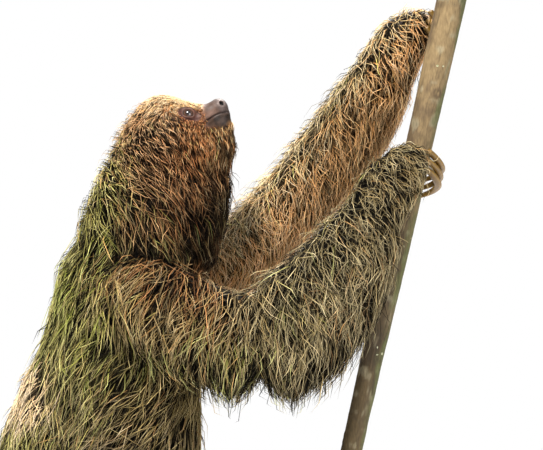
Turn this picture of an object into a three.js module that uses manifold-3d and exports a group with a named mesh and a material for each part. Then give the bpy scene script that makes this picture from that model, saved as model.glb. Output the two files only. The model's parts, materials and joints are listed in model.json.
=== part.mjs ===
// A three-toed sloth, life size, clinging upright to a leaning stem on a plain display stand.
// Millimetres, +Z up, +X the way the animal faces, +Y its left. The origin is the middle of the stand's underside.
// Every body solid reaches out to the tips of the coat.
import * as THREE from "three";
import { mergeVertices } from "three/addons/utils/BufferGeometryUtils.js";
import Module from "manifold-3d";

const wasm = await Module();
wasm.setup();
const { lerp, clamp, smoothstep, degToRad } = THREE.MathUtils;

// Driving dimensions
const gap = 0.35; // between neighbouring solids
const stand = { length: 420, width: 280, height: 20, corner: 18, bevel: 5 };
const rod = { radius: 6, sunk: 8, intoPerch: 16, bodyX: -86, bodyTop: 96 };
const collar = { radius: 15, height: 7 };
const stem = { foot: 45, top: 690, reach: 248.3, reachHeight: 665, slope: 0.222, thin: 10, thick: 14, thinTo: 200 };
const head = { at: [-11.4, 0, 539.6], pitch: 30, fineness: 7 };
const eye = { at: [16.2, 17.6, 8.4], radius: 6 };
const socket = { at: [20.8, 26.7, 9.1], radius: 9, soften: 5 };
const nostril = { at: [48.4, 8, 2.4], radius: 2.3 };
const mouth = { corner: 23.5, front: 58, height: -7.6, opening: 1.1, depth: 2.2 };
const coat = { face: 0.5, crown: 1, nape: 14 }; // depth of the fur on the head
const handClaw = { wide: 3, deep: 3.6, spacing: 7.8, root: 8 };
const footClaw = { wide: 2.6, deep: 3.2, spacing: 7.2, root: 8 };

// Materials
const finish = (color, roughness, metalness = 0) => new THREE.MeshStandardMaterial({ color, roughness, metalness });
const materials = {
  oliveFur: finish(0x6f6a3c, 1),
  brownFur: finish(0x7a5732, 1),
  tanFur: finish(0x9a7447, 1),
  greyFur: finish(0x8d8360, 1),
  face: finish(0x9c7145, 0.8),
  eye: finish(0x1a120d, 0.1),
  claw: finish(0x9a7a3c, 0.4),
  bark: finish(0xa18f6c, 0.9),
  plinth: finish(0x4a3120, 0.5),
  steel: finish(0x8a8d90, 0.3, 1),
};

// A closed mesh as a solid that can be joined and cut
function solidOf(geometry) {
  const bare = geometry.clone();
  bare.deleteAttribute("normal");
  bare.deleteAttribute("uv");
  const merged = mergeVertices(bare, 1e-3);
  const corners = merged.index.array;
  const triVerts = [];
  for (let i = 0; i < corners.length; i += 3) {
    const [a, b, c] = corners.slice(i, i + 3);
    if (a !== b && b !== c && c !== a) triVerts.push(a, b, c);
  }
  const vertProperties = new Float32Array(merged.attributes.position.array);
  return new wasm.Manifold(new wasm.Mesh({ numProp: 3, vertProperties, triVerts: new Uint32Array(triVerts) }));
}

function geometryOf(solid) {
  const mesh = solid.getMesh();
  const geometry = new THREE.BufferGeometry();
  geometry.setAttribute("position", new THREE.BufferAttribute(mesh.vertProperties, 3));
  geometry.setIndex(new THREE.BufferAttribute(mesh.triVerts, 1));
  geometry.computeVertexNormals();
  return geometry;
}

// A capsule bent along a curve through its stations, each { at, wide, deep }, and measured from the first of them.
// Wide runs along side and deep across it; capLength is how far the round ends reach, as a share of the girth.
function bend(stations, { sides, steps, capSteps = 2, capLength = 0.5, side = [0, 1, 0] }, grow) {
  const root = new THREE.Vector3(...stations[0].at);
  const places = stations.map((station) => new THREE.Vector3(...station.at).sub(root));
  const girths = stations.map((station) => new THREE.Vector3(station.wide, station.deep, 0));
  const path = new THREE.CatmullRomCurve3(places, false, "centripetal");
  const girth = new THREE.CatmullRomCurve3(girths, false, "centripetal");
  const capsule = new THREE.CapsuleGeometry(1, 2, capSteps, sides, steps);
  const points = capsule.attributes.position;
  for (let i = 0; i < points.count; i++) {
    const height = clamp(points.getY(i), -1, 1);
    const share = (height + 1) / 2;
    const tangent = path.getTangent(share);
    const along = new THREE.Vector3(...side);
    const across = along.addScaledVector(tangent, -along.dot(tangent)).normalize();
    const outward = new THREE.Vector3().crossVectors(across, tangent);
    const size = girth.getPoint(share);
    const beyond = (points.getY(i) - height) * (capLength * Math.min(size.x, size.y) + grow);
    const place = path
      .getPoint(share)
      .addScaledVector(across, points.getX(i) * (size.x + grow))
      .addScaledVector(outward, points.getZ(i) * (size.y + grow))
      .addScaledVector(tangent, beyond);
    points.setXYZ(i, place.x, place.y, place.z);
  }
  return solidOf(capsule);
}

// Nodes in the order they are cut: each is cut back from those before it
const nodes = [];
function node(name, material, parent, at, make) {
  const mesh = new THREE.Mesh(undefined, material);
  mesh.name = name;
  mesh.position.set(...at);
  parent.add(mesh);
  nodes.push({ mesh, make });
}
function group(parent, at = [0, 0, 0], turn = 0) {
  const made = new THREE.Group();
  made.position.set(...at);
  made.rotation.y = turn;
  parent.add(made);
  return made;
}
const model = new THREE.Group();
const display = group(model);
const animal = group(model);

// The stem leans towards +X: a group at any height on it has its z along the stem
const lean = Math.atan(stem.slope);
const stemAt = (z) => [stem.reach - stem.slope * (stem.reachHeight - z), 0, z];
const onStem = (parent, height) => group(parent, stemAt(height), lean);
const girthAt = (z) => lerp(stem.thin, stem.thick, smoothstep(z, stem.thinTo, stem.top));

// The display stand: a bevelled base, and two upright rods with collars
function baseSolid() {
  const outline = new THREE.Shape();
  const [x, y] = [stand.length / 2 - stand.corner, stand.width / 2 - stand.corner];
  const round = stand.corner - stand.bevel;
  [[x, -y], [x, y], [-x, y], [-x, -y]].forEach((middle, quarter) => {
    const start = (quarter - 1) * (Math.PI / 2);
    outline.absarc(...middle, round, start, start + Math.PI / 2, false);
  });
  const slab = new THREE.ExtrudeGeometry(outline, {
    depth: stand.height - stand.bevel,
    bevelThickness: stand.bevel,
    bevelSize: stand.bevel,
    bevelSegments: 2,
    curveSegments: 4,
  });
  const below = new THREE.BoxGeometry(2 * stand.length, 2 * stand.width, 100).translate(0, 0, -50);
  return solidOf(slab).subtract(solidOf(below));
}
function uprightSolid(radius, height, grow) {
  const bar = new THREE.CylinderGeometry(radius + grow, radius + grow, height + 2 * grow, 16);
  return solidOf(bar.rotateX(Math.PI / 2).translate(0, 0, height / 2));
}
const perchFoot = stemAt(stem.foot + rod.intoPerch / 2)[0];
const rodTops = { body: [rod.bodyX, rod.bodyTop], perch: [perchFoot, stem.foot + rod.intoPerch] };
for (const [name, [x, top]] of Object.entries(rodTops)) {
  const foot = stand.height - rod.sunk;
  const make = (grow) => uprightSolid(rod.radius, top - foot, grow);
  node(`stand_rod_${name}`, materials.steel, display, [x, 0, foot], make);
}
node("stand_base", materials.plinth, display, [0, 0, 0], baseSolid);
for (const [name, [x]] of Object.entries(rodTops)) {
  const make = (grow) => uprightSolid(collar.radius, collar.height, grow);
  node(`stand_collar_${name}`, materials.steel, display, [x, 0, stand.height + gap], make);
}

// The stem: a pole that thickens upwards, with slow swellings, sawn off square at both ends
function stemSolid(grow) {
  const length = (stem.top - stem.foot) / Math.cos(lean);
  const pole = new THREE.CylinderGeometry(1, 1, length, 12, 8).rotateX(Math.PI / 2);
  const points = pole.attributes.position;
  for (let i = 0; i < points.count; i++) {
    const along = points.getZ(i);
    const height = (stem.foot + stem.top) / 2 + along * Math.cos(lean);
    const swelling = 0.35 * Math.sin(along / 37) + 0.3 * Math.sin(along / 83 + 1);
    const girth = girthAt(height) + swelling + grow;
    points.setXY(i, points.getX(i) * girth, points.getY(i) * girth);
  }
  return solidOf(pole.translate(0, 0, length / 2));
}
node("perch", materials.bark, onStem(model, stem.foot), [0, 0, 0], stemSolid);

// The head's form in its own frame: x forward, y left, z up
const ellipsoid = (p, at, size) => {
  const [x, y, z] = [p.x - at[0], Math.abs(p.y) - at[1], p.z - at[2]];
  const near = Math.hypot(x / size[0], y / size[1], z / size[2]);
  const slope = Math.hypot(x / size[0] ** 2, y / size[1] ** 2, z / size[2] ** 2);
  return (near * (near - 1)) / Math.max(slope, 1e-6);
};
const cone = (p, from, to, r0, r1, flat) => {
  const start = new THREE.Vector3(...from);
  const axis = new THREE.Vector3(...to).sub(start);
  const q = new THREE.Vector3(p.x, p.y * flat, p.z).sub(start);
  const share = clamp(q.dot(axis) / axis.lengthSq(), 0, 1);
  return q.addScaledVector(axis, -share).length() - lerp(r0, r1, share);
};
const apart = (p, at) => Math.hypot(p.x - at[0], Math.abs(p.y) - at[1], p.z - at[2]);
const blend = (a, b, reach) => {
  const overlap = Math.max(reach - Math.abs(a - b), 0) / reach;
  return Math.min(a, b) - (overlap * overlap * reach) / 4;
};
const headForms = [
  { reach: 1, form: (p) => ellipsoid(p, [-10, 0, 3.5], [35, 30, 31]) }, // cranium
  { reach: 12, form: (p) => cone(p, [18, 0, 0], [43.5, 0, 0], 14.5, 8.2, 0.82) }, // muzzle
  { reach: 6, form: (p) => ellipsoid(p, [46, 0, 2], [6.5, 10, 6.2]) }, // nose
  { reach: 5, form: (p) => ellipsoid(p, [43.5, 0, -3], [8, 9.5, 6.5]) }, // upper lip
  { reach: 9, form: (p) => cone(p, [8, 0, -17], [44, 0, -13.5], 14, 7.6, 0.82) }, // lower jaw
  { reach: 14, form: (p) => ellipsoid(p, [3, 14, -8], [22, 14, 18]) }, // cheeks
  { reach: 8, form: (p) => ellipsoid(p, [12, 11, 14], [10, 7, 4]) }, // brows
];
const skinField = (p) => {
  const whole = headForms.reduce((field, part) => blend(field, part.form(p), part.reach), 1e3);
  return -blend(-whole, apart(p, socket.at) - socket.radius, socket.soften);
};
const coatDepth = (p) => {
  const back = 1 - smoothstep(p.x, -26, 34);
  const above = smoothstep(p.z, 8, 34);
  const furry = smoothstep(apart(p, eye.at), 7, 17);
  return coat.face + (coat.nape * back * (1 - 0.7 * above) + coat.crown * above) * furry;
};
const crownFur = (p) => ellipsoid(p, [-6, 0, 18], [20, 23, 24.5]);
const throatFur = (p) => ellipsoid(p, [7, 0, -29], [37, 35, 25]);
const napeFur = (p) => ellipsoid(p, [-35, 0, -14], [39, 39, 39]);
const furForms = [
  { reach: 12, form: napeFur },
  { reach: 15, form: throatFur },
  { reach: 8, form: crownFur },
];
function headField(p) {
  return furForms.reduce((field, fur) => blend(field, fur.form(p), fur.reach), skinField(p) - coatDepth(p));
}

// A ball of small triangles pushed out to the head's surface, closer together towards the face
function headSolid(grow, fineness = head.fineness) {
  const ball = new THREE.IcosahedronGeometry(1, fineness);
  const points = ball.attributes.position;
  const middle = new THREE.Vector3(13, 0, -2);
  for (let i = 0; i < points.count; i++) {
    const way = new THREE.Vector3().fromBufferAttribute(points, i);
    way.x += 0.4 * (1 - way.x * way.x);
    way.normalize();
    let [inside, outside] = [1, 90];
    for (let halving = 0; halving < 26; halving++) {
      const tried = (inside + outside) / 2;
      if (headField(middle.clone().addScaledVector(way, tried)) < 0) inside = tried;
      else outside = tried;
    }
    const skin = middle.clone().addScaledVector(way, inside + grow);
    points.setXYZ(i, skin.x, skin.y, skin.z);
  }
  return solidOf(ball);
}

// The slit between the lips, only as deep as the lips
function mouthSlit() {
  const line = new THREE.QuadraticBezierCurve(
    new THREE.Vector2(mouth.corner, mouth.height - 1.6),
    new THREE.Vector2((mouth.corner + mouth.front) / 2, mouth.height + 2.4),
    new THREE.Vector2(mouth.front, mouth.height - 0.4),
  ).getPoints(5);
  const lower = line.slice(1).reverse();
  lower.forEach((p, i) => (lower[i] = new THREE.Vector2(p.x, p.y - mouth.opening)));
  const plate = new THREE.ExtrudeGeometry(new THREE.Shape([...line, ...lower]), { depth: 60, bevelEnabled: false });
  return solidOf(plate.rotateX(Math.PI / 2).translate(0, 30, 0)).subtract(headSolid(-mouth.depth, 4));
}

function ballSolid(radius, at = [0, 0, 0], width = 12, height = 8) {
  return solidOf(new THREE.SphereGeometry(radius, width, height).translate(...at));
}
const onSide = (at, side) => [at[0], side * at[1], at[2]];
function headWithFace(grow) {
  if (grow > 0) return headSolid(grow);
  let made = headSolid(0).subtract(mouthSlit());
  for (const side of [-1, 1]) {
    made = made.subtract(ballSolid(eye.radius + gap, onSide(eye.at, side)));
    made = made.subtract(ballSolid(nostril.radius, onSide(nostril.at, side), 6, 4));
  }
  return made;
}
const headGroup = group(animal, head.at, -degToRad(head.pitch));
for (const [name, side] of [["left", 1], ["right", -1]])
  node(`eye_${name}`, materials.eye, headGroup, onSide(eye.at, side), (grow) => ballSolid(eye.radius + grow));
node("head", materials.face, headGroup, [0, 0, 0], headWithFace);

// A curved claw that hooks round the stem, in the stem's frame. Turn is the angle round it from the paw's side.
function clawStations(size, side, height, { from, to, drop, bow }) {
  const count = 6;
  const girth = girthAt(height);
  return Array.from({ length: count }, (_, i) => {
    const share = i / (count - 1);
    const taper = 1 - 0.84 * share ** 1.7;
    const angle = degToRad(lerp(from, to, share));
    const rise = size.root * (1 - share) ** 3 + bow * Math.sin(Math.PI * share);
    const out = girth + 1 + size.deep * taper + rise;
    const at = [out * Math.sin(angle), side * out * Math.cos(angle), -drop * share];
    return { at, wide: size.wide * taper, deep: size.deep * taper };
  });
}
const grips = {
  hand_right: { size: handClaw, side: -1, height: 523, hook: { from: 20, to: 208, drop: 40, bow: 6.5 } },
  hand_left: { size: handClaw, side: 1, height: 652, hook: { from: -40, to: 56, drop: 40, bow: 1 } },
  foot_right: { size: footClaw, side: -1, height: 158, hook: { from: 20, to: 176, drop: 26, bow: 3 } },
  foot_left: { size: footClaw, side: 1, height: 198, hook: { from: 20, to: 176, drop: 26, bow: 3 } },
};
for (const [paw, { size, side, height, hook }] of Object.entries(grips)) {
  const stations = clawStations(size, side, height, hook);
  const grip = onStem(animal, height);
  for (const digit of [1, 2, 3]) {
    const [x, y, z] = stations[0].at;
    const at = [x, y, z - (digit - 1) * size.spacing];
    const make = (grow) => bend(stations, { sides: 6, steps: 5, capSteps: 1, side: [0, 0, 1] }, grow);
    node(`claw_${paw}_${digit}`, materials.claw, grip, at, make);
  }
}

// Body forms, each a short list of stations
const trunk = [
  { at: [-44, 0, 420], wide: 58, deep: 64 }, // base of the neck
  { at: [-60, 0, 382], wide: 74, deep: 72 }, // shoulders
  { at: [-64, 0, 333], wide: 80, deep: 77 }, // chest
  { at: [-74, 0, 285], wide: 86, deep: 88 }, // waist
  { at: [-84, 0, 237], wide: 91, deep: 97 }, // belly
  { at: [-90, 0, 190], wide: 92, deep: 99 }, // loins
  { at: [-92, 0, 143], wide: 84, deep: 90 }, // hips
  { at: [-87, 0, 110], wide: 66, deep: 72 }, // rump
];
const neck = [
  { at: [-40, 0, 424], wide: 60, deep: 70 }, // chest end
  { at: [-37, 0, 445], wide: 57, deep: 67 },
  { at: [-26, 0, 475], wide: 52, deep: 66 },
  { at: [-17, 0, 500], wide: 43, deep: 62 },
  { at: [-14, 0, 517], wide: 34, deep: 54 }, // throat end
];
const tail = [
  { at: [-112, 0, 118], wide: 22, deep: 20 },
  { at: [-137, 0, 92], wide: 17, deep: 15 },
  { at: [-152, 0, 74], wide: 11, deep: 11 }, // tip
];
const limbs = {
  right: {
    upper_arm: [
      { at: [-62, -50, 388], wide: 36, deep: 46 }, // shoulder
      { at: [-28, -72, 371], wide: 38, deep: 50 },
      { at: [18, -88, 347], wide: 36, deep: 52 },
      { at: [60, -92, 329], wide: 35, deep: 50 }, // elbow
    ],
    forearm: [
      { at: [68, -93, 330], wide: 34, deep: 58 }, // elbow
      { at: [97, -90, 349], wide: 34, deep: 60 },
      { at: [137, -80, 394], wide: 33, deep: 54 },
      { at: [171, -62, 454], wide: 29, deep: 34 }, // wrist
    ],
    hand: [
      { at: [174, -60, 466], wide: 27, deep: 30 }, // wrist
      { at: [193, -46, 496], wide: 26, deep: 30 },
      { at: [208, -38, 509], wide: 20, deep: 25 },
      { at: [218, -32, 512], wide: 13, deep: 16 }, // knuckles
    ],
    thigh: [
      { at: [-86, -44, 148], wide: 44, deep: 54 }, // hip
      { at: [-36, -80, 158], wide: 44, deep: 48 },
      { at: [8, -99, 162], wide: 38, deep: 41 }, // knee
    ],
    shin: [
      { at: [14, -100, 162], wide: 36, deep: 39 }, // knee
      { at: [52, -84, 146], wide: 34, deep: 35 },
      { at: [92, -56, 128], wide: 27, deep: 29 }, // ankle
    ],
    foot: [
      { at: [96, -53, 127], wide: 25, deep: 27 }, // heel
      { at: [114, -40, 134], wide: 22, deep: 26 },
      { at: [130, -34, 144], wide: 18, deep: 21 },
      { at: [139, -30, 149], wide: 12, deep: 13 }, // toes
    ],
  },
  left: {
    upper_arm: [
      { at: [-34, 48, 392], wide: 36, deep: 42 }, // shoulder
      { at: [6, 70, 402], wide: 36, deep: 37 },
      { at: [53, 82, 428], wide: 34, deep: 36 },
      { at: [100, 86, 476], wide: 34, deep: 37 }, // elbow
    ],
    forearm: [
      { at: [106, 86, 481], wide: 33, deep: 37 }, // elbow
      { at: [132, 79, 511], wide: 33, deep: 39 },
      { at: [156, 69, 544], wide: 32, deep: 38 },
      { at: [185, 52, 592], wide: 30, deep: 33 }, // wrist
    ],
    hand: [
      { at: [188, 50, 602], wide: 28, deep: 31 }, // wrist
      { at: [204, 41, 630], wide: 26, deep: 28 },
      { at: [216, 35, 643], wide: 20, deep: 22 },
      { at: [226, 30, 648], wide: 13, deep: 14 }, // knuckles
    ],
    thigh: [
      { at: [-86, 44, 152], wide: 44, deep: 54 }, // hip
      { at: [-36, 80, 170], wide: 44, deep: 47 },
      { at: [8, 99, 180], wide: 38, deep: 40 }, // knee
    ],
    shin: [
      { at: [14, 100, 181], wide: 36, deep: 38 }, // knee
      { at: [56, 84, 174], wide: 34, deep: 34 },
      { at: [98, 56, 165], wide: 27, deep: 28 }, // ankle
    ],
    foot: [
      { at: [102, 53, 165], wide: 25, deep: 26 }, // heel
      { at: [120, 40, 173], wide: 22, deep: 25 },
      { at: [136, 34, 184], wide: 18, deep: 21 },
      { at: [145, 30, 189], wide: 12, deep: 13 }, // toes
    ],
  },
};
function bodyPiece(name, material, stations, shape) {
  node(name, material, animal, stations[0].at, (grow) => bend(stations, shape, grow));
}
bodyPiece("trunk", materials.oliveFur, trunk, { sides: 18, steps: 9, capSteps: 2, capLength: 0.62 });
bodyPiece("neck", materials.brownFur, neck, { sides: 16, steps: 4, capLength: 0.3 });
bodyPiece("tail", materials.oliveFur, tail, { sides: 10, steps: 3, capLength: 0.6 });
for (const [side, pieces] of Object.entries(limbs)) {
  const fur = side === "right" ? materials.greyFur : materials.tanFur;
  for (const [limb, stations] of Object.entries(pieces))
    bodyPiece(`${limb}_${side}`, fur, stations, { sides: 12, steps: 5 });
}

// Cut each node back from those before it and keep its main body
const largest = (solid) => solid.decompose().sort((a, b) => b.volume() - a.volume())[0];
model.updateMatrixWorld(true);
const settled = [];
for (const { mesh, make } of nodes) {
  const place = mesh.matrixWorld;
  let own = make(0).transform(place.elements);
  for (const other of settled) if (own.intersect(other).volume() > 0) own = own.subtract(other);
  settled.push(make(gap).transform(place.elements));
  mesh.geometry = geometryOf(largest(own).transform(place.clone().invert().elements));
}

export default model;
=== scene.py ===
# A three-toed sloth clinging upright to a leaning stem: skin, coat, eyes and claws, the stem and the stand.
# Shapes are worked out in millimetres, in the frame's own axes, and go into Blender in metres.
import json
import math

import bmesh
import bpy
import numpy as np
import openvdb
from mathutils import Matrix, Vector, kdtree

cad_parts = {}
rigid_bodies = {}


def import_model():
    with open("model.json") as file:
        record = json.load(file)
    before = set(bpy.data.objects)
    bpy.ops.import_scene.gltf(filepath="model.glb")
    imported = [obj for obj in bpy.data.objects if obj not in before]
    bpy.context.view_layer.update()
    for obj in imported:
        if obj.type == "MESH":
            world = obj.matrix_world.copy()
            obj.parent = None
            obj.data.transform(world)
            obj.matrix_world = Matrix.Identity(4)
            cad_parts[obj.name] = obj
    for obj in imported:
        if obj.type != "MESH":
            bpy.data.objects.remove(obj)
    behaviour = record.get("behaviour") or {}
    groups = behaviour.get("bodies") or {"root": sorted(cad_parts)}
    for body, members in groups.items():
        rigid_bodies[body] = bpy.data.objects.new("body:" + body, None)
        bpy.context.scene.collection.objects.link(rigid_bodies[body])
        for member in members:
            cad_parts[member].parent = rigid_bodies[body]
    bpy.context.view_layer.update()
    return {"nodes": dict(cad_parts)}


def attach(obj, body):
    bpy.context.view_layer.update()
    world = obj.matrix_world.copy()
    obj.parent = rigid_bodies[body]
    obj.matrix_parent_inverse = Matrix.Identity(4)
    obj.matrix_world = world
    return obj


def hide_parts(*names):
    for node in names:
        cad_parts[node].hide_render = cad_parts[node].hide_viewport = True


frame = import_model()
mm = 0.001


def unit(ways):
    return ways / np.maximum(np.linalg.norm(ways, axis=-1, keepdims=True), 1e-9)


def smooth(value, low, high):
    share = np.clip((value - low) / (high - low), 0, 1)
    return share * share * (3 - 2 * share)


def mix(a, b, share):
    return a + (b - a) * share


def linear(*rgb):  # a display colour, 0 to 255, as the light it stands for
    shade = np.array(rgb, float) / 255
    return np.where(shade <= 0.04045, shade / 12.92, ((shade + 0.055) / 1.055) ** 2.4)


def waves(points, size, seed, channels=1):  # smooth random values from -1 to 1, about one bump to each size
    lattice = np.random.default_rng(seed).uniform(-1, 1, (24, 24, 24, channels))
    place = points / size
    cell = np.floor(place).astype(int)
    share = place - cell
    share = share * share * (3 - 2 * share)
    total = 0
    for corner in np.ndindex(2, 2, 2):
        weight = np.prod(np.where(corner, share, 1 - share), axis=-1)
        at = (cell + corner) % 24
        total = total + weight[..., None] * lattice[at[..., 0], at[..., 1], at[..., 2]]
    return total if channels > 1 else total[..., 0]


def cornersOf(obj):
    mesh = obj.data
    points = np.empty(len(mesh.vertices) * 3, np.float32)
    mesh.vertices.foreach_get("co", points)
    mesh.calc_loop_triangles()
    faces = np.empty(len(mesh.loop_triangles) * 3, np.int32)
    mesh.loop_triangles.foreach_get("vertices", faces)
    return points.reshape(-1, 3) / mm, faces.reshape(-1, 3)


def fillMesh(mesh, points, faces):
    mesh.vertices.add(len(points))
    mesh.vertices.foreach_set("co", np.ascontiguousarray(points * mm, np.float32).ravel())
    mesh.loops.add(faces.size)
    mesh.loops.foreach_set("vertex_index", np.ascontiguousarray(faces, np.int32).ravel())
    mesh.polygons.add(len(faces))
    starts = np.arange(len(faces), dtype=np.int32) * faces.shape[1]
    mesh.polygons.foreach_set("loop_start", starts)
    mesh.update(calc_edges=True)
    mesh.validate()
    mesh.polygons.foreach_set("use_smooth", np.ones(len(mesh.polygons), bool))


def newObject(name, data):
    made = bpy.data.objects.new(name, data)
    bpy.context.scene.collection.objects.link(made)
    return made


def makePiece(name, points, faces, material=None):
    mesh = bpy.data.meshes.new(name)
    fillMesh(mesh, points, faces)
    piece = newObject(name, mesh)
    if material:
        mesh.materials.append(material)
    return piece


def paint(piece, name, colours):  # one colour to each corner point of the mesh
    layer = piece.data.color_attributes.new(name, "FLOAT_COLOR", "POINT")
    shades = np.ones((len(piece.data.vertices), 4), np.float32)
    shades[:, :3] = colours
    layer.data.foreach_set("color", shades.ravel())


def tinted(tone, *layers):  # each layer is a display colour, and how much of it covers what is below
    for colour, amount in layers:
        tone = mix(tone, linear(*colour), np.reshape(amount, (-1, 1)))
    return tone


def unitBall(fineness):  # points on a ball of radius 1, and its triangles
    work = bmesh.new()
    bmesh.ops.create_icosphere(work, subdivisions=fineness, radius=1)
    ways = np.array([v.co[:] for v in work.verts])
    faces = np.array([[v.index for v in f.verts] for f in work.faces])
    work.free()
    return ways, faces


def plainMesh(piece):  # what the piece's modifiers make of it
    return bpy.data.meshes.new_from_object(piece.evaluated_get(bpy.context.evaluated_depsgraph_get()))


def settle(piece, slot, *nodes):
    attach(piece, "root")
    if nodes:
        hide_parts(*nodes)


def addNodes(tree, wanted):  # each by its name: its kind, then settings, then values of inputs
    for name, (kind, *given) in wanted.items():
        node = tree.nodes.new("ShaderNode" + kind if tree.bl_idname == "ShaderNodeTree" else kind)
        node.name = name
        settings, values = (given + [{}, {}])[:2]
        for key, value in settings.items():
            setattr(node, key, value)
        for key, value in values.items():
            node.inputs[key].default_value = value


def socketAt(tree, end, side):  # "noise.Fac", or a number where several sockets share a name
    name, key = end.split(".")
    node = tree.nodes["Principled BSDF" if name == "shader" else name]
    return getattr(node, side)[int(key) if key.isdigit() else key]


def wire(tree, *joins):
    for join in joins:
        start, end = join.split(" > ")
        tree.links.new(socketAt(tree, start, "outputs"), socketAt(tree, end, "inputs"))


def newGroup(name, kind, takes, gives):  # a node group, with the type and value of each socket
    tree = bpy.data.node_groups.new(name, kind)
    for way, sockets in (("INPUT", takes), ("OUTPUT", gives)):
        for label, (socketType, *value) in sockets.items():
            made = tree.interface.new_socket(label, in_out=way, socket_type="NodeSocket" + socketType)
            if value:
                made.default_value = value[0]
    for label, end in (("given", "Input"), ("made", "Output")):
        tree.nodes.new("NodeGroup" + end).name = label
    return tree


def newMaterial(name, values):  # a plain surface, with these values of its shader
    material = bpy.data.materials.new(name)
    material.use_nodes = True
    for key, value in values.items():
        material.node_tree.nodes["Principled BSDF"].inputs[key].default_value = value
    return material


def paintedMaterial(name, values):  # its colour is the one that is painted on the mesh
    material = newMaterial(name, values)
    addNodes(material.node_tree, {"painted": ("Attribute", {"attribute_name": "shade"})})
    wire(material.node_tree, "painted.Color > shader.Base Color")
    return material


# The body's form, as distances on a grid of voxels
grid = {"voxel": 4, "margin": 26, "band": 12, "closing": 8, "meld": 7}
flesh = [n for n in frame["nodes"] if not n.startswith(("stand", "perch", "eye", "claw"))]
claws = [n for n in frame["nodes"] if n.startswith("claw")]


def surfaceOf(name):
    points, faces = cornersOf(frame["nodes"][name])
    merged, places = np.unique(np.round(points, 3), axis=0, return_inverse=True)
    return merged, places.ravel()[faces]


surfaces = {name: surfaceOf(name) for name in flesh + claws}
lowest = np.min([points.min(0) for points, _ in surfaces.values()], axis=0) - grid["margin"]
highest = np.max([points.max(0) for points, _ in surfaces.values()], axis=0) + grid["margin"]
gridStart = np.floor(lowest / grid["voxel"]).astype(int)
gridShape = tuple(np.ceil(highest / grid["voxel"]).astype(int) - gridStart + 1)


def distancesTo(points, faces):
    level = openvdb.FloatGrid.createLevelSetFromPolygons(
        np.ascontiguousarray(points, np.float32),
        triangles=np.ascontiguousarray(faces, np.uint32),
        transform=openvdb.createLinearTransform(grid["voxel"]),
        halfWidth=float(grid["band"]),
    )
    values = np.empty(gridShape, np.float32)
    level.copyToArray(values, ijk=tuple(int(i) for i in gridStart))
    return values


def contour(values, height):  # the surface where the field has this value, as points and triangles
    level = openvdb.FloatGrid(grid["voxel"] * grid["band"])
    level.transform = openvdb.createLinearTransform(grid["voxel"])
    level.copyFromArray(np.ascontiguousarray(values, np.float32), ijk=tuple(int(i) for i in gridStart))
    points, triangles, quads = level.convertToPolygons(height, 0)
    faces = np.vstack([triangles.reshape(-1, 3), quads[:, [0, 1, 2]], quads[:, [0, 2, 3]]]).astype(int)
    return points.astype(float), faces


def blurred(values, times):
    for _ in range(times):
        for axis in range(3):
            padded = np.pad(values, [(1, 1) if a == axis else (0, 0) for a in range(3)], mode="edge")
            low, middle, high = (np.take(padded, range(i, i + values.shape[axis]), axis) for i in range(3))
            values = low / 4 + middle / 2 + high / 4
    return values


def sample(values, points):  # values between the voxels, for any number of fields side by side
    place = points / grid["voxel"] - gridStart
    place = np.clip(place, 0, np.array(gridShape) - 1.001)
    cell = place.astype(int)
    share = place - cell
    total = 0
    for corner in np.ndindex(2, 2, 2):
        weight = np.prod(np.where(corner, share, 1 - share), axis=-1)
        at = cell + corner
        found = values[at[:, 0], at[:, 1], at[:, 2]]
        total = total + (weight[:, None] if found.ndim > 1 else weight) * found
    return total


print("body: measuring distances")
nodeFields = {name: distancesTo(*surfaces[name]) for name in flesh + claws}
allFields = np.min([nodeFields[n] for n in flesh + claws], axis=0)
closedField = distancesTo(*contour(allFields, grid["closing"])) + grid["closing"]


# The head's skin, in its own frame: x forward, y left, z up
head = {"at": (-11.4, 0, 539.6), "pitch": 30, "middle": (13, 0, -2), "rounds": 24}
head |= {"outermost": 90, "gather": 0.42}  # the skin's points are gathered towards the face
eye = {"at": (16.2, 17.6, 8.4), "radius": 6, "lid": 0.9, "wide": 5.3, "tall": 3.8, "tilt": -40}
eye |= {"lidReach": 3, "floor": 3.4, "slitReach": 0.8}
socket = {"at": (20.8, 26.7, 9.1), "radius": 9, "soften": 5}
nostril = {"at": (49.1, 8.7, 2.5), "radius": 2.5, "deep": 3, "rim": 0.5, "away": 9}
mouth = {"corner": 23.5, "front": 54, "heights": (-7.1, -0.6, -9.0)}  # at the corner, the arch and the front
# What the head is blended from, in this order: round forms with a middle and half sizes, and long ones
# with their ends and the girth at each. Reach is how softly each joins the rest. The sockets are hollowed
# under the brows.
headForms = {
    "cranium": {"at": (-10, 0, 3.5), "size": (35, 30, 31)},
    "muzzle": {"from": (18, 0, 0), "to": (43.5, 0, 0), "girths": (14.5, 8.2), "flat": 0.82, "reach": 12},
    "nose": {"at": (46, 0, 2), "size": (6.5, 10, 6.2), "reach": 6},
    "upperLip": {"at": (43.5, 0, -3), "size": (8, 9.5, 6.5), "reach": 5},
    "lowerJaw": {"from": (8, 0, -17), "to": (41.6, 0, -14.4), "girths": (14, 7.4), "flat": 0.82, "reach": 9},
    "lips": {"at": (44.6, 0, -8.2), "size": (6.2, 7.5, 5), "reach": 3},
    "cheeks": {"at": (3, 14, -8), "size": (22, 14, 18), "reach": 14},
    "brows": {"at": (12, 11, 14), "size": (10, 7, 4), "reach": 8},
    "crown": {"at": (-5, 0, 17.5), "size": (18, 21, 22), "reach": 8},
    "throat": {"at": (6, 0, -28), "size": (35, 30, 23), "reach": 14},
    "nape": {"at": (-32, 0, -12), "size": (32, 31, 32), "reach": 12},
}
tilt = math.radians(head["pitch"])
headTurn = np.array([[math.cos(tilt), 0, -math.sin(tilt)], [0, 1, 0], [math.sin(tilt), 0, math.cos(tilt)]])


def toHead(points):
    return (points - head["at"]) @ headTurn


def fromHead(points):
    return points @ headTurn.T + head["at"]


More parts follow.
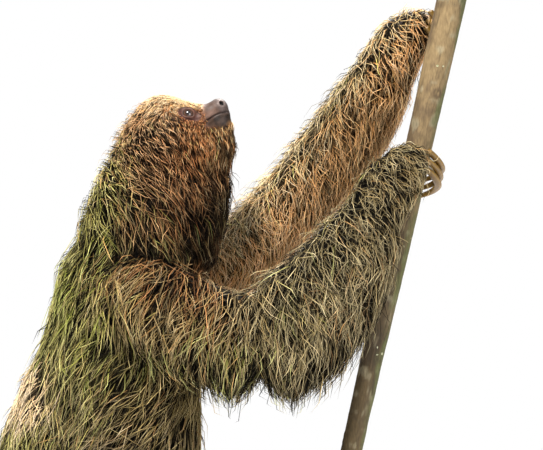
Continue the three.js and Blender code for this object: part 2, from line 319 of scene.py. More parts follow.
def mirrored(points):  # both sides of the head as the left one
    return points * [1, 0, 1] + np.abs(points) * [0, 1, 0]


def ellipsoid(points, at, size):
    away = points - at
    near = np.linalg.norm(away / size, axis=1)
    slope = np.linalg.norm(away / np.square(size), axis=1)
    return near * (near - 1) / np.maximum(slope, 1e-6)


def cone(points, start, end, girths, flat):
    start = np.array(start, float)
    axis = np.array(end) - start
    away = points * [1, flat, 1] - start
    share = np.clip(away @ axis / (axis @ axis), 0, 1)
    return np.linalg.norm(away - share[:, None] * axis, axis=1) - mix(girths[0], girths[1], share)


def blend(a, b, reach):
    overlap = np.maximum(reach - np.abs(a - b), 0) / reach
    return np.minimum(a, b) - overlap * overlap * reach / 4


eyeAxis = unit(np.array([0.26, 0.87, 0.36]))  # the way the left eye looks out
fissure = np.array([math.cos(math.radians(eye["tilt"])), 0, math.sin(math.radians(eye["tilt"]))])
fissure = unit(fissure - (fissure @ eyeAxis) * eyeAxis)  # along the slit, from its back to its front
eyeUp = np.cross(eyeAxis, fissure) * -1
if eyeUp[2] < 0:
    eyeUp = -eyeUp


def aroundEye(points):  # along the slit, up across it and out of the head, from the middle of the eye
    away = mirrored(points) - eye["at"]
    return away @ fissure, away @ eyeUp, away @ eyeAxis


def lipLine(forward):
    share = np.clip((forward - mouth["corner"]) / (mouth["front"] - mouth["corner"]), 0, 1)
    corner, arch, end = mouth["heights"]
    return (1 - share) ** 2 * corner + 2 * share * (1 - share) * arch + share**2 * end


nostrilWay = unit(np.array([0.5, 0.85, 0.15]))  # the way the left nostril opens


def fromNostril(points):  # how far points are from the middle line of the nostril
    away = mirrored(points) - nostril["at"]
    along = away @ nostrilWay
    return np.linalg.norm(away - along[:, None] * nostrilWay, axis=1) + nostril["away"] * (np.abs(along) > 5)


def bump(distance, wide):
    return np.exp(-np.square(distance / wide))


def formField(points, form):
    if "girths" in form:
        return cone(points, form["from"], form["to"], form["girths"], form["flat"])
    return ellipsoid(points, form["at"], form["size"])


def headField(points):
    p = mirrored(points)
    field = None
    for name, form in headForms.items():
        near = formField(p, form)
        field = near if field is None else blend(field, near, form["reach"])
        if name == "brows":
            hollow = np.linalg.norm(p - socket["at"], axis=1) - socket["radius"]
            field = -blend(-field, hollow, socket["soften"])
    along, up, out = aroundEye(points)
    ball = np.sqrt(along**2 + up**2 + out**2)
    field = blend(field, ball - eye["radius"] - eye["lid"], eye["lidReach"])
    opening = (np.sqrt((along / eye["wide"]) ** 2 + (up / eye["tall"]) ** 2) - 1) * eye["tall"]
    carve = np.maximum(opening, eye["floor"] - out)  # a slit with a floor behind the front of the eyeball
    field = -blend(-field, carve, eye["slitReach"])
    rim = np.linalg.norm(p - nostril["at"], axis=1) - nostril["radius"]
    return field - nostril["rim"] * bump(rim - 0.8, 0.9)


def headDetails(points):  # what the folds raise or sink the skin by
    p = mirrored(points)
    along, up, out = aroundEye(points)
    x, y, z = p.T
    front = smooth(x, mouth["corner"] - 1, mouth["corner"] + 5) * (1 - smooth(x, 47, 51))
    below = z - lipLine(x)
    lips = front * (0.75 * bump(below - 2.2, 1.6) + 0.85 * bump(below + 2.4, 1.7) - 1.6 * bump(below, 0.7))
    nearEye = smooth(out, -1, 2) * (1 - smooth(np.hypot(along, up), 13, 18))
    upperFold = up - 6.1 + 0.03 * along**2
    lowerFold = up + 6.4 - 0.035 * along**2
    outerFold = up + 8.9 - 0.03 * along**2
    lids = -0.8 * bump(upperFold, 0.55) + 0.5 * bump(upperFold + 1.4, 0.9) - 0.45 * bump(lowerFold, 0.6)
    lids = lids + 0.35 * bump(lowerFold - 1.2, 0.8) - 0.3 * bump(outerFold, 0.6)
    corners = -0.7 * bump(np.hypot(np.abs(along) - eye["wide"] - 1.4, up) / 1.6, 0.8)
    septum = -0.7 * bump(y, 0.7) * smooth(x, 46, 50) * smooth(z, -8, -5)  # the groove between the nostrils
    across = waves(p * [1.1, 0.45, 0.45], 2.6, 11)
    creases = 0.16 * np.minimum(across, 0) * smooth(x, 25, 33) * (1 - smooth(x, 44, 50))
    grain = 0.05 * waves(p, 1.2, 12) * smooth(x, 22, 30)
    return lips + nearEye * (lids + corners) + septum + creases + grain


def headSurface(fineness=7):
    ways, faces = unitBall(fineness)
    ways = unit(ways + head["gather"] * (1 - ways[:, :1] ** 2) * [1, 0, 0])
    inside, outside = np.ones(len(ways)), np.full(len(ways), float(head["outermost"]))
    for _ in range(head["rounds"]):
        tried = (inside + outside) / 2
        within = headField(head["middle"] + ways * tried[:, None]) < 0
        inside, outside = np.where(within, tried, inside), np.where(within, outside, tried)
    points = head["middle"] + ways * inside[:, None]
    points += ways * headDetails(points)[:, None]
    hollow = nostril["deep"] * (1 - smooth(fromNostril(points) / nostril["radius"], 0.3, 1.1))
    points -= hollow[:, None] * nostrilWay * np.where(points[:, 1:2] < 0, [[1, -1, 1]], [[1, 1, 1]])
    return points, faces


print("skin: head")
headPoints, headFaces = headSurface()


# How deep the coat is over each part: on top, at the sides and hanging below, in millimetres
coatDepth = {
    "trunk": (10, 11, 12),
    "neck": (8, 9, 10),
    "head": (15, 15, 15),
    "tail": (6, 6, 7),
    "upper_arm_right": (8, 9, 30),
    "forearm_right": (7, 9, 34),
    "hand_right": (5, 6, 8),
    "upper_arm_left": (8, 8, 16),
    "forearm_left": (7, 8, 15),
    "hand_left": (5, 6, 7),
    "thigh": (9, 10, 13),
    "shin": (7, 8, 10),
    "foot": (5, 5, 6),
}
stem = {"foot": 45, "top": 690, "reach": 248.3, "reachHeight": 665, "slope": 0.222}
stem |= {"thin": 10, "thick": 14, "thinTo": 200}
lean = math.atan(stem["slope"])
stemWay = np.array([math.sin(lean), 0, math.cos(lean)])


def stemAt(height):
    return np.array([stem["reach"] - stem["slope"] * (stem["reachHeight"] - height), 0, height])


def girthAt(height):
    return mix(stem["thin"], stem["thick"], smooth(height, stem["thinTo"], stem["top"]))


def fromStem(points):  # how far points are from the stem's surface, and the way out from it
    away = points - stemAt(stem["foot"])
    across = away - (away @ stemWay)[:, None] * stemWay
    return np.linalg.norm(across, axis=1) - girthAt(points[:, 2]), unit(across)


def partNamed(name):
    return name if name in coatDepth else name.rsplit("_", 1)[0]


def slopes(values):
    return np.stack(np.gradient(values, grid["voxel"]), axis=-1)


voxels = (np.stack(np.indices(gridShape), axis=-1) + gridStart).reshape(-1, 3) * float(grid["voxel"])
coatField = blurred(closedField, 1)
upward = unit(slopes(coatField))[..., 2]
forward, _, up = toHead(voxels).reshape(gridShape + (3,)).transpose(3, 0, 1, 2)
behindFace = np.maximum(1 - smooth(forward, -24, 8), smooth(-up, 22, 34))
shares, depths = 0, 0
for name in flesh:
    own = np.exp(-np.clip(nodeFields[name] - allFields, 0, 60) / grid["meld"])
    top, side, below = coatDepth[partNamed(name)]
    depth = mix(side, top, np.clip(upward, 0, 1)) + (below - side) * np.clip(-upward, 0, 1) ** 1.3
    if name == "head":  # the face's own skin is shaped below, and the coat grows thin over it
        depth = depth - (depth - 8) * behindFace
    shares, depths = shares + own, depths + own * depth
nearStem = fromStem(voxels)[0].reshape(gridShape)
fleshField = blurred(coatField + depths / shares * smooth(nearStem, 2, 12) + 0.4, 1)
fleshField = np.maximum(fleshField, 0.6 - nearStem)


# One skin: the body's joined to the head's
def bodySurface():
    points, faces = contour(fleshField, 0)
    label = np.arange(len(points))
    while True:  # every corner takes the lowest number that it is joined to
        lowestOf = label[faces].min(axis=1)
        before = label.copy()
        for corner in range(3):
            np.minimum.at(label, faces[:, corner], lowestOf)
        label = label[label]
        if np.array_equal(before, label):
            break
    kept = faces[label[faces[:, 0]] == np.argmax(np.bincount(label))]
    used, places = np.unique(kept, return_inverse=True)
    return points[used], places.reshape(-1, 3)


def joinedSkin():
    body = makePiece("body", *bodySurface())
    whole = makePiece("skin", fromHead(headPoints), headFaces)
    joined = whole.modifiers.new("joined", "BOOLEAN")
    joined.operation = "UNION"
    joined.solver = "MANIFOLD"
    joined.object = body
    mesh = plainMesh(whole)
    whole.modifiers.clear()
    whole.data = mesh
    mesh.polygons.foreach_set("use_smooth", np.ones(len(mesh.polygons), bool))
    mesh.polygons.foreach_set("material_index", np.zeros(len(mesh.polygons), np.int32))
    bpy.data.objects.remove(body)
    return whole


print("skin: head joined to body")
skin = joinedSkin()
headVoxels = np.linalg.norm(toHead(voxels) - head["middle"], axis=1) < 95
headGrid = np.full(len(voxels), 60.0)
headGrid[headVoxels] = headField(toHead(voxels[headVoxels]))
fleshField = np.minimum(fleshField, headGrid.reshape(gridShape))


# Where the strands grow, and how they lie
skinPoints, skinFaces = cornersOf(skin)
normals = np.empty(len(skinPoints) * 3, np.float32)
skin.data.vertices.foreach_get("normal", normals)
skinNormals = normals.reshape(-1, 3)
partNames = list(flesh)
partFields = np.stack([nodeFields[name] for name in partNames], axis=-1)
coatSlopes = slopes(coatField)


def partShares(points, reach=9.0):  # how much each point belongs to each part of the body
    near = sample(partFields, points)
    near = np.exp(-np.clip(near - near.min(axis=1, keepdims=True), 0, 80) / reach)
    return near / near.sum(axis=1, keepdims=True)


# Each part's strands: length, width, how straight they hang, spread of their ways in degrees, how much
# they curl, and skin area to each strand in square millimetres
growth = {
    "trunk": (52, 0.85, 0.15, 15, 0.14, 3.7),
    "neck": (42, 0.8, 0.2, 16, 0.16, 2.6),
    "head": (20, 0.55, 0.1, 13, 0.12, 0.85),
    "tail": (24, 1.0, 0.2, 18, 0.2, 4.2),
    "upper_arm_right": (54, 0.85, 0.45, 19, 0.2, 2.8),
    "forearm_right": (50, 0.8, 0.4, 26, 0.26, 2.3),
    "hand_right": (30, 0.75, 0.2, 32, 0.3, 1.7),
    "upper_arm_left": (42, 0.64, 0.3, 24, 0.24, 2.6),
    "forearm_left": (40, 0.64, 0.3, 27, 0.28, 2.3),
    "hand_left": (30, 0.64, 0.2, 32, 0.3, 1.8),
    "thigh": (46, 1.0, 0.3, 15, 0.16, 5.2),
    "shin": (38, 1.0, 0.3, 16, 0.2, 4.8),
    "foot": (18, 1.0, 0.1, 16, 0.3, 3.2),
}
# The way each part's strands lie: forward, outward from the midline, and up
ways = {
    "trunk": (-0.5, 0.1, -0.85),
    "neck": (0.55, 0.15, -0.8),
    "head": (0.3, 0.35, -0.9),
    "tail": (-0.6, 0.0, -0.8),
    "upper_arm_right": (-0.3, 0.45, -0.95),
    "forearm_right": (0.15, 0.35, -0.95),
    "hand_right": (0.7, 0.1, -0.7),
    "upper_arm_left": (0.1, -0.25, -1.0),
    "forearm_left": (0.2, -0.25, -1.0),
    "hand_left": (0.45, 0.1, -0.85),
    "thigh": (-0.1, 0.2, -1.0),
    "shin": (0.1, 0.1, -1.0),
    "foot": (0.7, 0.1, -0.6),
}
growthOf = np.array([growth[partNamed(name)] for name in partNames], float)
waysOf = np.array([ways[partNamed(name)] for name in partNames], float)
coat = {
    "seed": 7,
    "triangles": 1470000,
    "guards": 0.45,  # share of strands that are long
    "bright": 0.24,  # and of those that lie on top and are pale
    "sides": (16, 10),  # triangles to a pale strand, and to any other
    "lock": 0.09,  # share of strands that lead a lock
    "lockTurn": 15,  # how far whole locks turn aside, in degrees
    "lockLengths": (0.75, 1.2),
    "lockSunk": 1.3,  # how deep whole locks lie on average, in millimetres
    "sweep": (34, 20),  # how wide the sweeps are that the locks follow, and how far those turn
    "gather": (0.0, 0.12, 0.28),  # how much each third of a strand is drawn to its lock's leader
    "steps": (1.0, 0.5, 0.1),  # how steeply each third of a strand rises
    "hangs": (0.3, 0.9, 1.5),  # how much each third of it hangs
    "lengths": ((0.75, 1.25), (0.5, 0.95)),  # shares of the part's own, for long strands and for the others
    "widths": ((0.8, 1.2), (1.0, 1.5)),
    "brightWidths": (0.75, 1.12),
    "climbs": ((0.8, 1.5), (0.35, 1.0)),  # shares of the coat's depth that they rise through
    "headroom": ((-2.2, 0), (-4, -1)),  # how far past the coat's surface they may reach, in millimetres
    "brightHeadroom": (-0.8, 1.2),
    "strayHeadroom": (0, 8),
    "wisps": ((-8, 7), (-10, 1)),  # the same for the wisps that hang below the near arm
    "furthest": (-25, 16),
    "bands": (205, 300),  # heights at which the trunk's coat is parted into pieces
}


def bareFace(points):  # 1 on the bare skin of the muzzle and round the eyes, 0 in the fur
    inHead = mirrored(toHead(points))
    x, y, z = inHead.T
    edge = 25.5 + 0.4 * (z + 7) + 1.2 * waves(inHead, 4, 21)
    chin = np.maximum(-13.5 - 0.42 * (x - 33), -17.5) + 1.2 * waves(inHead, 5, 22)
    muzzle = smooth(x - edge, -5, 3.5) * smooth(z - chin, -4, 3)
    along, up, out = aroundEye(inHead)
    ring = np.sqrt(((along - 1.5) / 12.5) ** 2 + (up / 8.0) ** 2)
    around = (1 - smooth(ring, 0.85, 1.1)) * (out > -4)
    return np.maximum(muzzle, around), ring


def headWays(points):  # the coat parts along the crown, falls at the sides and turns back from the face
    x, y, z = toHead(points).T
    side = np.sign(y + 1e-6)
    level = np.zeros(len(x))
    falling = np.stack([level + 0.05, side * 0.35, level - 1], axis=1)
    backward = np.stack([level - 0.8, side * 0.5, level - 0.1], axis=1)
    fromFace = unit(np.stack([x - 34, y - side * 4, z + 2], axis=1))
    chin = np.stack([level - 0.55, level, level - 0.8], axis=1)
    way = mix(falling, backward, smooth(z, 12, 28)[:, None])
    way = mix(way, fromFace, 0.7 * (smooth(x, 2, 22) * smooth(z, -16, -4))[:, None])
    way = mix(way, chin, (smooth(x, 14, 30) * smooth(-z, 8, 16))[:, None])
    return unit(way) @ headTurn.T


def strandWays(points, outs, share):
    side = np.sign(points[:, 1] + 1e-6)
    way = share @ waysOf
    of = {name: share[:, i] for i, name in enumerate(partNames)}
    behind = smooth(-outs[:, 0], -0.4, 0.7)
    way[:, 0] += of["trunk"] * mix(-0.35, 0.25, behind)
    way[:, 2] += of["trunk"] * mix(0.1, -0.1, behind)
    ridge = smooth(outs[:, 2], -0.1, 0.6)
    way[:, 0] += of["forearm_right"] * mix(-0.25, 0.15, ridge)
    way[:, 0] += of["upper_arm_right"] * mix(-0.3, 0.3, smooth(points[:, 0], -40, 60))
    way[:, 1] *= side
    return unit(mix(unit(way), headWays(points), of["head"][:, None] ** 0.7))


def rootsOnSkin(rng):
    corners = skinPoints[skinFaces]
    area = np.linalg.norm(np.cross(corners[:, 1] - corners[:, 0], corners[:, 2] - corners[:, 0]), axis=1) / 2
    middle = corners.mean(axis=1)
    share = partShares(middle)
    headShare = share[:, partNames.index("head")]
    bare, _ = bareFace(middle)
    furred = np.where(headShare > 0.02, 1 - bare, 1) * (fromStem(middle)[0] > 1.5)
    closer = 1 + headShare * 1.8 * smooth(toHead(middle)[:, 0], 0, 22)  # towards the face
    wanted = area / (share @ growthOf[:, 5]) * furred * closer
    each = coat["sides"][0] * coat["bright"] + coat["sides"][1] * (1 - coat["bright"])
    count = int(coat["triangles"] / each)
    print("coat: wanted", int(wanted.sum()), "made", count)
    chosen = np.searchsorted(np.cumsum(wanted) / wanted.sum(), rng.random(count))
    across = np.sqrt(rng.random(count))
    along = rng.random(count)
    weights = np.stack([1 - across, across * (1 - along), across * along], axis=1)
    roots = np.einsum("ij,ijk->ik", weights, corners[chosen])
    outs = unit(np.einsum("ij,ijk->ik", weights, skinNormals[skinFaces[chosen]]))
    return roots, outs, chosen, weights


def leadersOf(roots, rng):  # the strand that leads the lock each strand is in
    leaders = np.flatnonzero(rng.random(len(roots)) < coat["lock"])
    tree = kdtree.KDTree(len(leaders))
    for leader in leaders:
        tree.insert(roots[leader], int(leader))
    tree.balance()
    return np.array([tree.find(root)[1] for root in roots])


def varied(rng, which, some, others):  # one range of random values for these strands, another for the others
    return np.where(which, rng.uniform(*some, len(which)), rng.uniform(*others, len(which)))


def growCoat():
    rng = np.random.default_rng(coat["seed"])
    roots, outs, chosen, weights = rootsOnSkin(rng)
    count = len(roots)
    rank = rng.random(count)
    guard, bright = rank < coat["guards"], rank < coat["bright"]
    share = partShares(roots)
    of = {name: share[:, i] for i, name in enumerate(partNames)}
    length, width, hang, spread, curl, _ = (share @ growthOf).T
    way = strandWays(roots, outs, share)
    _, ring = bareFace(roots)
    forward, _, up = toHead(roots).T
    # towards the face the strands are short, fine and flat
    face = of["head"] * smooth(forward, -24, 22) * (1 - 0.85 * smooth(-up, 12, 30))
    nearRing = of["head"] * (1 - smooth(ring, 1.0, 2.2))
    length = length * (1 - 0.7 * face) * (1 - 0.5 * nearRing)
    width = width * (1 - 0.35 * face)
    depth = np.clip(-sample(coatField, roots), 1.5, 40)
    leader = leadersOf(roots, rng)
    lockTurn = (rng.normal(0, 1, count) * coat["lockTurn"])[leader] * (1 - 0.6 * face)
    lockLength = rng.uniform(*coat["lockLengths"], count)[leader]
    lockSunk = rng.exponential(coat["lockSunk"], count)[leader] * (1 - face)
    sweep = waves(roots, coat["sweep"][0], 31) * coat["sweep"][1] * (1 - 0.5 * face)
    length = length * lockLength * varied(rng, guard, *coat["lengths"])
    thick = varied(rng, bright, coat["brightWidths"], coat["widths"][0])
    width = width * np.where(guard, thick, rng.uniform(*coat["widths"][1], count))
    farArm = of["forearm_left"] + of["upper_arm_left"]
    below = smooth(-outs[:, 2], 0.1, 0.7) * (of["forearm_right"] + of["upper_arm_right"])
    length = length * (1 + 0.25 * below)
    turn = np.radians(lockTurn + sweep + rng.normal(0, 1, count) * spread)
    # a strand rises through the coat's depth over its length, and stands up along the back and the nape
    standing = of["head"] * smooth(-(outs @ headTurn[:, 0]), 0.0, 0.8)
    standing = standing + of["neck"] * smooth(-outs[:, 0], 0, 0.8)
    ridge = smooth(outs[:, 2], 0.2, 0.8) * of["forearm_right"]
    edge = smooth(0.866 * outs[:, 2] - 0.5 * outs[:, 0], 0.1, 0.7) * farArm
    edge = edge * (1 - smooth(roots[:, 2], 590, 640)) + ridge
    climb = depth * varied(rng, guard, *coat["climbs"])
    climb = climb * (1 + 0.9 * standing)
    lift = np.arcsin(np.clip(climb / (length * np.mean(coat["steps"])), 0.03, 0.92))
    stray = (rng.random(count) < 0.05 + 0.3 * standing + 0.25 * edge) * (1 - face)
    headroom = varied(rng, guard, *coat["headroom"])
    headroom = np.where(bright, rng.uniform(*coat["brightHeadroom"], count), headroom) - lockSunk
    headroom = headroom + stray * rng.uniform(*coat["strayHeadroom"], count)
    headroom = headroom + edge * guard * rng.uniform(-2, 5, count)
    # under the near arm the coat thins out into hanging wisps
    wisp = -18 + 18 * rng.random(count)[leader] ** 1.6
    wisp = wisp + varied(rng, guard, *coat["wisps"])
    headroom = mix(headroom, np.maximum(wisp, coat["furthest"][0]), below)
    headroom = headroom + below * (rng.random(count) < 0.11) * rng.uniform(6, 22, count)
    # the far arm's coat hangs down behind the near arm, whose own stands up a little along its ridge
    hanging = smooth(-outs[:, 2], 0.0, 0.6) * farArm
    headroom = headroom + hanging * guard * rng.uniform(0, 9, count)
    headroom = headroom + ridge * bright * rng.uniform(0, 4, count)
    headroom = headroom + of["head"] * guard * rng.uniform(-1, 2, count)
    headroom = np.clip(headroom, *coat["furthest"])
    wave = rng.normal(0, 1, (3, count))
    path = [roots - outs * 0.8]
    place, out = roots, outs
    for step, steep in enumerate(coat["steps"]):
        tangent = unit(way - np.einsum("ij,ij->i", way, out)[:, None] * out)
        across = np.cross(out, tangent)
        bend = turn + curl * wave[step]
        heading = np.cos(bend)[:, None] * tangent + np.sin(bend)[:, None] * across
        rise = lift * (steep + 0.5 * stray)
        move = np.cos(rise)[:, None] * heading + np.sin(rise)[:, None] * out
        weight = np.clip(hang * coat["hangs"][step] + 0.5 * below * (0.3, 1, 1)[step], 0, 0.95)[:, None]
        move = unit(mix(move, np.array([0, 0, -1.0]), weight * smooth(-out[:, 2], -0.3, 0.5)[:, None]))
        place = place + move * (length / 3)[:, None]
        led = place[leader] + 0.5 * (roots - roots[leader])
        place = mix(place, led, (coat["gather"][step] * (1 - stray))[:, None])
        outside = sample(coatField, place)
        slope = unit(sample(coatSlopes, place))
        place = place - slope * np.maximum(outside - headroom, 0)[:, None]
        deep = sample(fleshField, place)
        place = place + slope * np.maximum(0.8 + 0.3 * step - deep, 0)[:, None]
        nearStem, away = fromStem(place)
        place = place + away * np.maximum(1.2 - nearStem, 0)[:, None]
        out = unit(mix(out, slope, 0.7))
        path.append(place)
    path = np.stack(path, axis=1)
    eyeAlong, eyeHigh, eyeOut = aroundEye(toHead(path[:, 1:].reshape(-1, 3)))
    overEye = (np.hypot(eyeAlong / 9, eyeHigh / 7) < 1) & (eyeOut > 0)
    kept = ~overEye.reshape(count, -1).any(axis=1)
    grown = {"path": path, "width": width, "guard": guard, "share": share, "outs": outs, "leader": leader}
    grown |= {"bright": bright, "chosen": chosen, "weights": weights, "face": face, "below": below}
    return {name: values[kept] for name, values in grown.items()}


grown = growCoat()


# The coat's colours, the same on the skin below and the strands over it: root, strand and tip
shades = {
    "crown": (linear(176, 118, 64), linear(250, 206, 144), linear(255, 238, 204)),
    "temple": (linear(46, 24, 12), linear(178, 128, 82), linear(238, 200, 156)),
    "rust": (linear(74, 30, 10), linear(160, 90, 48), linear(206, 150, 98)),
    "throat": (linear(22, 10, 4), linear(60, 35, 18), linear(116, 76, 44)),
    "chin": (linear(50, 27, 12), linear(116, 78, 46), linear(172, 132, 92)),
    "neck": (linear(24, 12, 6), linear(152, 108, 68), linear(222, 186, 140)),
    "orange": (linear(38, 18, 7), linear(138, 84, 46), linear(196, 138, 88)),
    "back": (linear(42, 36, 10), linear(142, 134, 70), linear(206, 200, 140)),
    "algae": (linear(40, 44, 6), linear(128, 135, 50), linear(196, 201, 122)),
    "flank": (linear(34, 22, 8), linear(132, 112, 64), linear(200, 182, 130)),
    "loin": (linear(24, 14, 7), linear(122, 102, 70), linear(204, 188, 156)),
    "pale": (linear(160, 124, 78), linear(248, 210, 160), linear(254, 240, 216)),
    "arm": (linear(34, 20, 7), linear(146, 120, 74), linear(214, 196, 152)),
    "grey": (linear(28, 17, 7), linear(146, 128, 86), linear(226, 212, 172)),
    "moss": (linear(34, 35, 10), linear(146, 151, 76), linear(214, 217, 156)),
    "tan": (linear(58, 30, 10), linear(196, 142, 84), linear(240, 208, 160)),
    "sand": (linear(110, 82, 48), linear(222, 196, 154), linear(250, 236, 210)),
}
# How much lighter or darker than these shades some parts are
lighter = {"head": 1.05, "neck": 0.3, "trunk": 0.31, "tail": 0.6}
lighter |= {"upper_arm_left": 1.9, "forearm_left": 0.7, "hand_left": 1.2}
lighter |= {"upper_arm_right": 0.42, "forearm_right": 0.28, "hand_right": 0.33}
lighter |= {f"{part}_{side}": 0.6 for part in ("thigh", "shin", "foot") for side in ("left", "right")}
lighterOf = np.array([lighter.get(name, 1) for name in partNames])
shadeNames = list(shades)
# And how much each shade is
strength = {"crown": 1.65, "rust": 0.68, "throat": 0.13, "chin": 0.38, "orange": 0.8, "back": 1.35}
strength |= {"algae": 1.3, "pale": 3}
shadeTable = np.array([strength.get(name, 1) * np.array(shades[name]) for name in shadeNames])


def lightness(points):
    share = partShares(points, 12)
    nape = share[:, partNames.index("head")] * smooth(-toHead(points)[:, 0], 12, 34)
    return share @ lighterOf * (1 - 0.6 * nape)


def markings(points, outs):  # the share of each shade in the coat at each point
    share = partShares(points, 12)
    of = {name: share[:, i] for i, name in enumerate(partNames)}
    x, y, z = points.T
    hx, hy, hz = mirrored(toHead(points)).T
    near, fine = waves(points, 60, 41), waves(points, 16, 42)
    amount = {name: np.zeros(len(points)) for name in shadeNames}
    _, ring = bareFace(points)
    # Head: straw on the crown, rust round the eye, brown cheeks and a dark throat
    crown = smooth(hz + 0.55 * hx - 0.35 * hy + 5 * fine, -2, 14) * smooth(hx, -26, -4)
    rust = (1 - smooth(ring + 0.35 * fine, 1.1, 2.6)) * (1 - smooth(hz - 13 + 0.15 * hx, -2, 4))
    chin = smooth(hx + 4 * fine, 18, 34) * smooth(-hz, 4, 12)
    throat = smooth(-hz + 0.6 * hx + 6 * near, 38, 58)
    amount["crown"] = of["head"] * crown * (1 - rust)
    amount["rust"] = of["head"] * rust
    rest = of["head"] * (1 - crown) * (1 - rust)
    amount["chin"] = rest * chin * (1 - throat)
    amount["throat"] = rest * throat
    rest = rest * (1 - chin) * (1 - throat)
    rusty = smooth(0.6 * hx - hz - 12 + 12 * near + 6 * fine, -26, 16)
    amount["orange"] = rest * 0.5 * rusty
    amount["rust"] += rest * 0.45 * rusty
    amount["temple"] = rest * (1 - 0.9 * rusty)
    # Neck and shoulders: brown strands, rusty towards the throat, green down the nape
    green = smooth(-x - 62 + 0.12 * (z - 420) + 16 * near + 8 * fine, -8, 26)
    front = smooth(x + 14 * fine + 10 * near, -50, 0)
    dark = smooth(x + 0.6 * (490 - z) + 6 * fine, 12, 44)
    amount["throat"] += of["neck"] * dark * (1 - green)
    amount["orange"] += of["neck"] * (1 - dark) * front * 0.7 * (1 - green)
    amount["neck"] = of["neck"] * (1 - dark) * (1 - 0.7 * front) * (1 - green)
    amount["back"] = of["neck"] * green
    # Trunk: green on the upper back, olive flanks, browner loins and a pale patch low on the back
    trunk = of["trunk"] + of["tail"]
    backward = smooth(-outs[:, 0] + 0.25 * near, -0.35, 0.75)
    high = smooth(z + 26 * near, 190, 330)
    algae = backward * high * smooth(fine + 0.4 * near, -0.5, 0.7)
    patch = smooth(-x, 116, 168) * smooth(z + 10 * fine, 248, 268) * (1 - smooth(z + 10 * fine, 300, 326))
    low = 1 - smooth(z + 40 * near + 0.5 * x, 190, 300)
    collar = smooth(z + 0.5 * x + 14 * near, 366, 402) * (1 - backward)
    amount["pale"] = trunk * patch
    amount["algae"] = trunk * (1 - patch) * algae * 0.75
    amount["back"] += trunk * (1 - patch) * backward * (1 - algae * 0.75)
    rest = trunk * (1 - patch) * (1 - backward)
    amount["orange"] += rest * collar * 0.55
    amount["neck"] += rest * collar * 0.45
    amount["loin"] = rest * (1 - collar) * low
    amount["flank"] = rest * (1 - collar) * (1 - low)
    # Arms: the right one olive grey with mossy patches, the left one tan with a greyer upper edge
    upperRight = of["upper_arm_right"]
    shoulder = (1 - smooth(x + 10 * near, 10, 60)) * smooth(outs[:, 2] + 0.2 * fine, 0.2, 0.85)
    mossy = smooth(near + 0.5 * fine + 0.5 * smooth(x, -10, 60), 0.1, 0.75)
    amount["orange"] += upperRight * shoulder * 0.6
    amount["arm"] = upperRight * (1 - shoulder * 0.6) * (1 - 0.45 * mossy)
    amount["moss"] = upperRight * (1 - shoulder * 0.6) * 0.45 * mossy
    foreRight = of["forearm_right"]
    patches = smooth(waves(points, 34, 43) + 0.35 * fine, 0.05, 0.6) * (1 - smooth(x, 118, 168))
    patches = patches * (1 - smooth(outs[:, 2], 0.1, 0.7))
    amount["grey"] = foreRight * (1 - 0.6 * patches) + of["hand_right"] * 0.75
    amount["moss"] += foreRight * 0.6 * patches
    amount["arm"] += of["hand_right"] * 0.25
    left = of["upper_arm_left"] + of["forearm_left"] + of["hand_left"]
    edge = smooth(0.866 * outs[:, 2] - 0.5 * outs[:, 0] + 0.25 * fine, 0.25, 0.95)
    amount["sand"] = left * edge * 0.2
    amount["grey"] += left * edge * 0.65
    amount["tan"] = left * (1 - edge * 0.85)
    # Legs: the flank's colours, greyer towards the feet
    legs = sum(of[f"{part}_{side}"] for part in ("thigh", "shin", "foot") for side in ("left", "right"))
    lower = smooth(x, 0, 100)
    amount["grey"] += legs * lower * 0.7
    amount["arm"] += legs * lower * 0.3
    amount["loin"] += legs * (1 - lower) * 0.5
    amount["flank"] += legs * (1 - lower) * 0.5
    amounts = np.stack([amount[name] for name in shadeNames], axis=1)
    return amounts / np.maximum(amounts.sum(axis=1, keepdims=True), 1e-6)


def strandColours(points, outs, rng):
    amount = markings(points, outs)
    picked = (np.cumsum(amount, axis=1) > rng.random(len(points))[:, None]).argmax(axis=1)
    blended = mix(np.einsum("ij,jkl->ikl", amount, shadeTable), shadeTable[picked], 0.6)
    return blended * lightness(points)[:, None, None]


def strandMesh(path, width, outs, rings):  # strands made solid: three-sided, tapering to a tip
    count = len(path)
    if rings < 3:
        path = path[:, [0, 2, 3]]
    tangent = unit(np.concatenate([path[:, 1:2] - path[:, :1], path[:, 2:] - path[:, :-2]], axis=1))
    across = unit(np.cross(tangent, outs[:, None, :]))
    over = np.cross(across, tangent)
    taper = np.array([0.75, 1.0, 0.78] if rings == 3 else [0.85, 0.9])
    half = (width[:, None] * taper / 2)[:, :, None]
    corners = []
    for turn in np.radians([90, 210, 330]):
        corners.append(path[:, :rings] + half * (math.cos(turn) * across + 0.85 * math.sin(turn) * over))
    points = np.concatenate([np.stack(corners, axis=2).reshape(count, rings * 3, 3), path[:, -1:]], axis=1)
    faces = [[0, 2, 1]]
    for ring in range(rings - 1):
        for side in range(3):
            a, b = ring * 3 + side, ring * 3 + (side + 1) % 3
            faces += [[a, b, b + 3], [a, b + 3, a + 3]]
    for side in range(3):
        faces.append([(rings - 1) * 3 + side, (rings - 1) * 3 + (side + 1) % 3, rings * 3])
    return points, np.array(faces)


tones = {
    "lock": 0.16,  # how much the brightness varies from lock to lock
    "strand": 0.35,  # and from strand to strand
    "kinds": (2.05, 0.14, 0.025),  # brightness of the pale strands on top, of other long ones and of the rest, partly their own colour and partly painted shade on the lower strands
    "gentle": (2.1, 0.75, 0.2),  # the same where the painted shade is gentler
    "tips": (1.1, 0.7, 0.3),  # how far each kind pales towards its tip
    "deepShade": 0.07,  # painted shade: brightness at the bottom of the coat
    "deep": 5.5,  # and how far down that is, in millimetres
    "brightest": 0.9,
    "straw": (236, 224, 196),  # what the brightest strands fade towards, as a painted highlight
}


def byKind(values):  # one value for the pale strands on top, one for other long ones and one for the rest
    return np.where(grown["bright"], values[0], np.where(grown["guard"], values[1], values[2]))


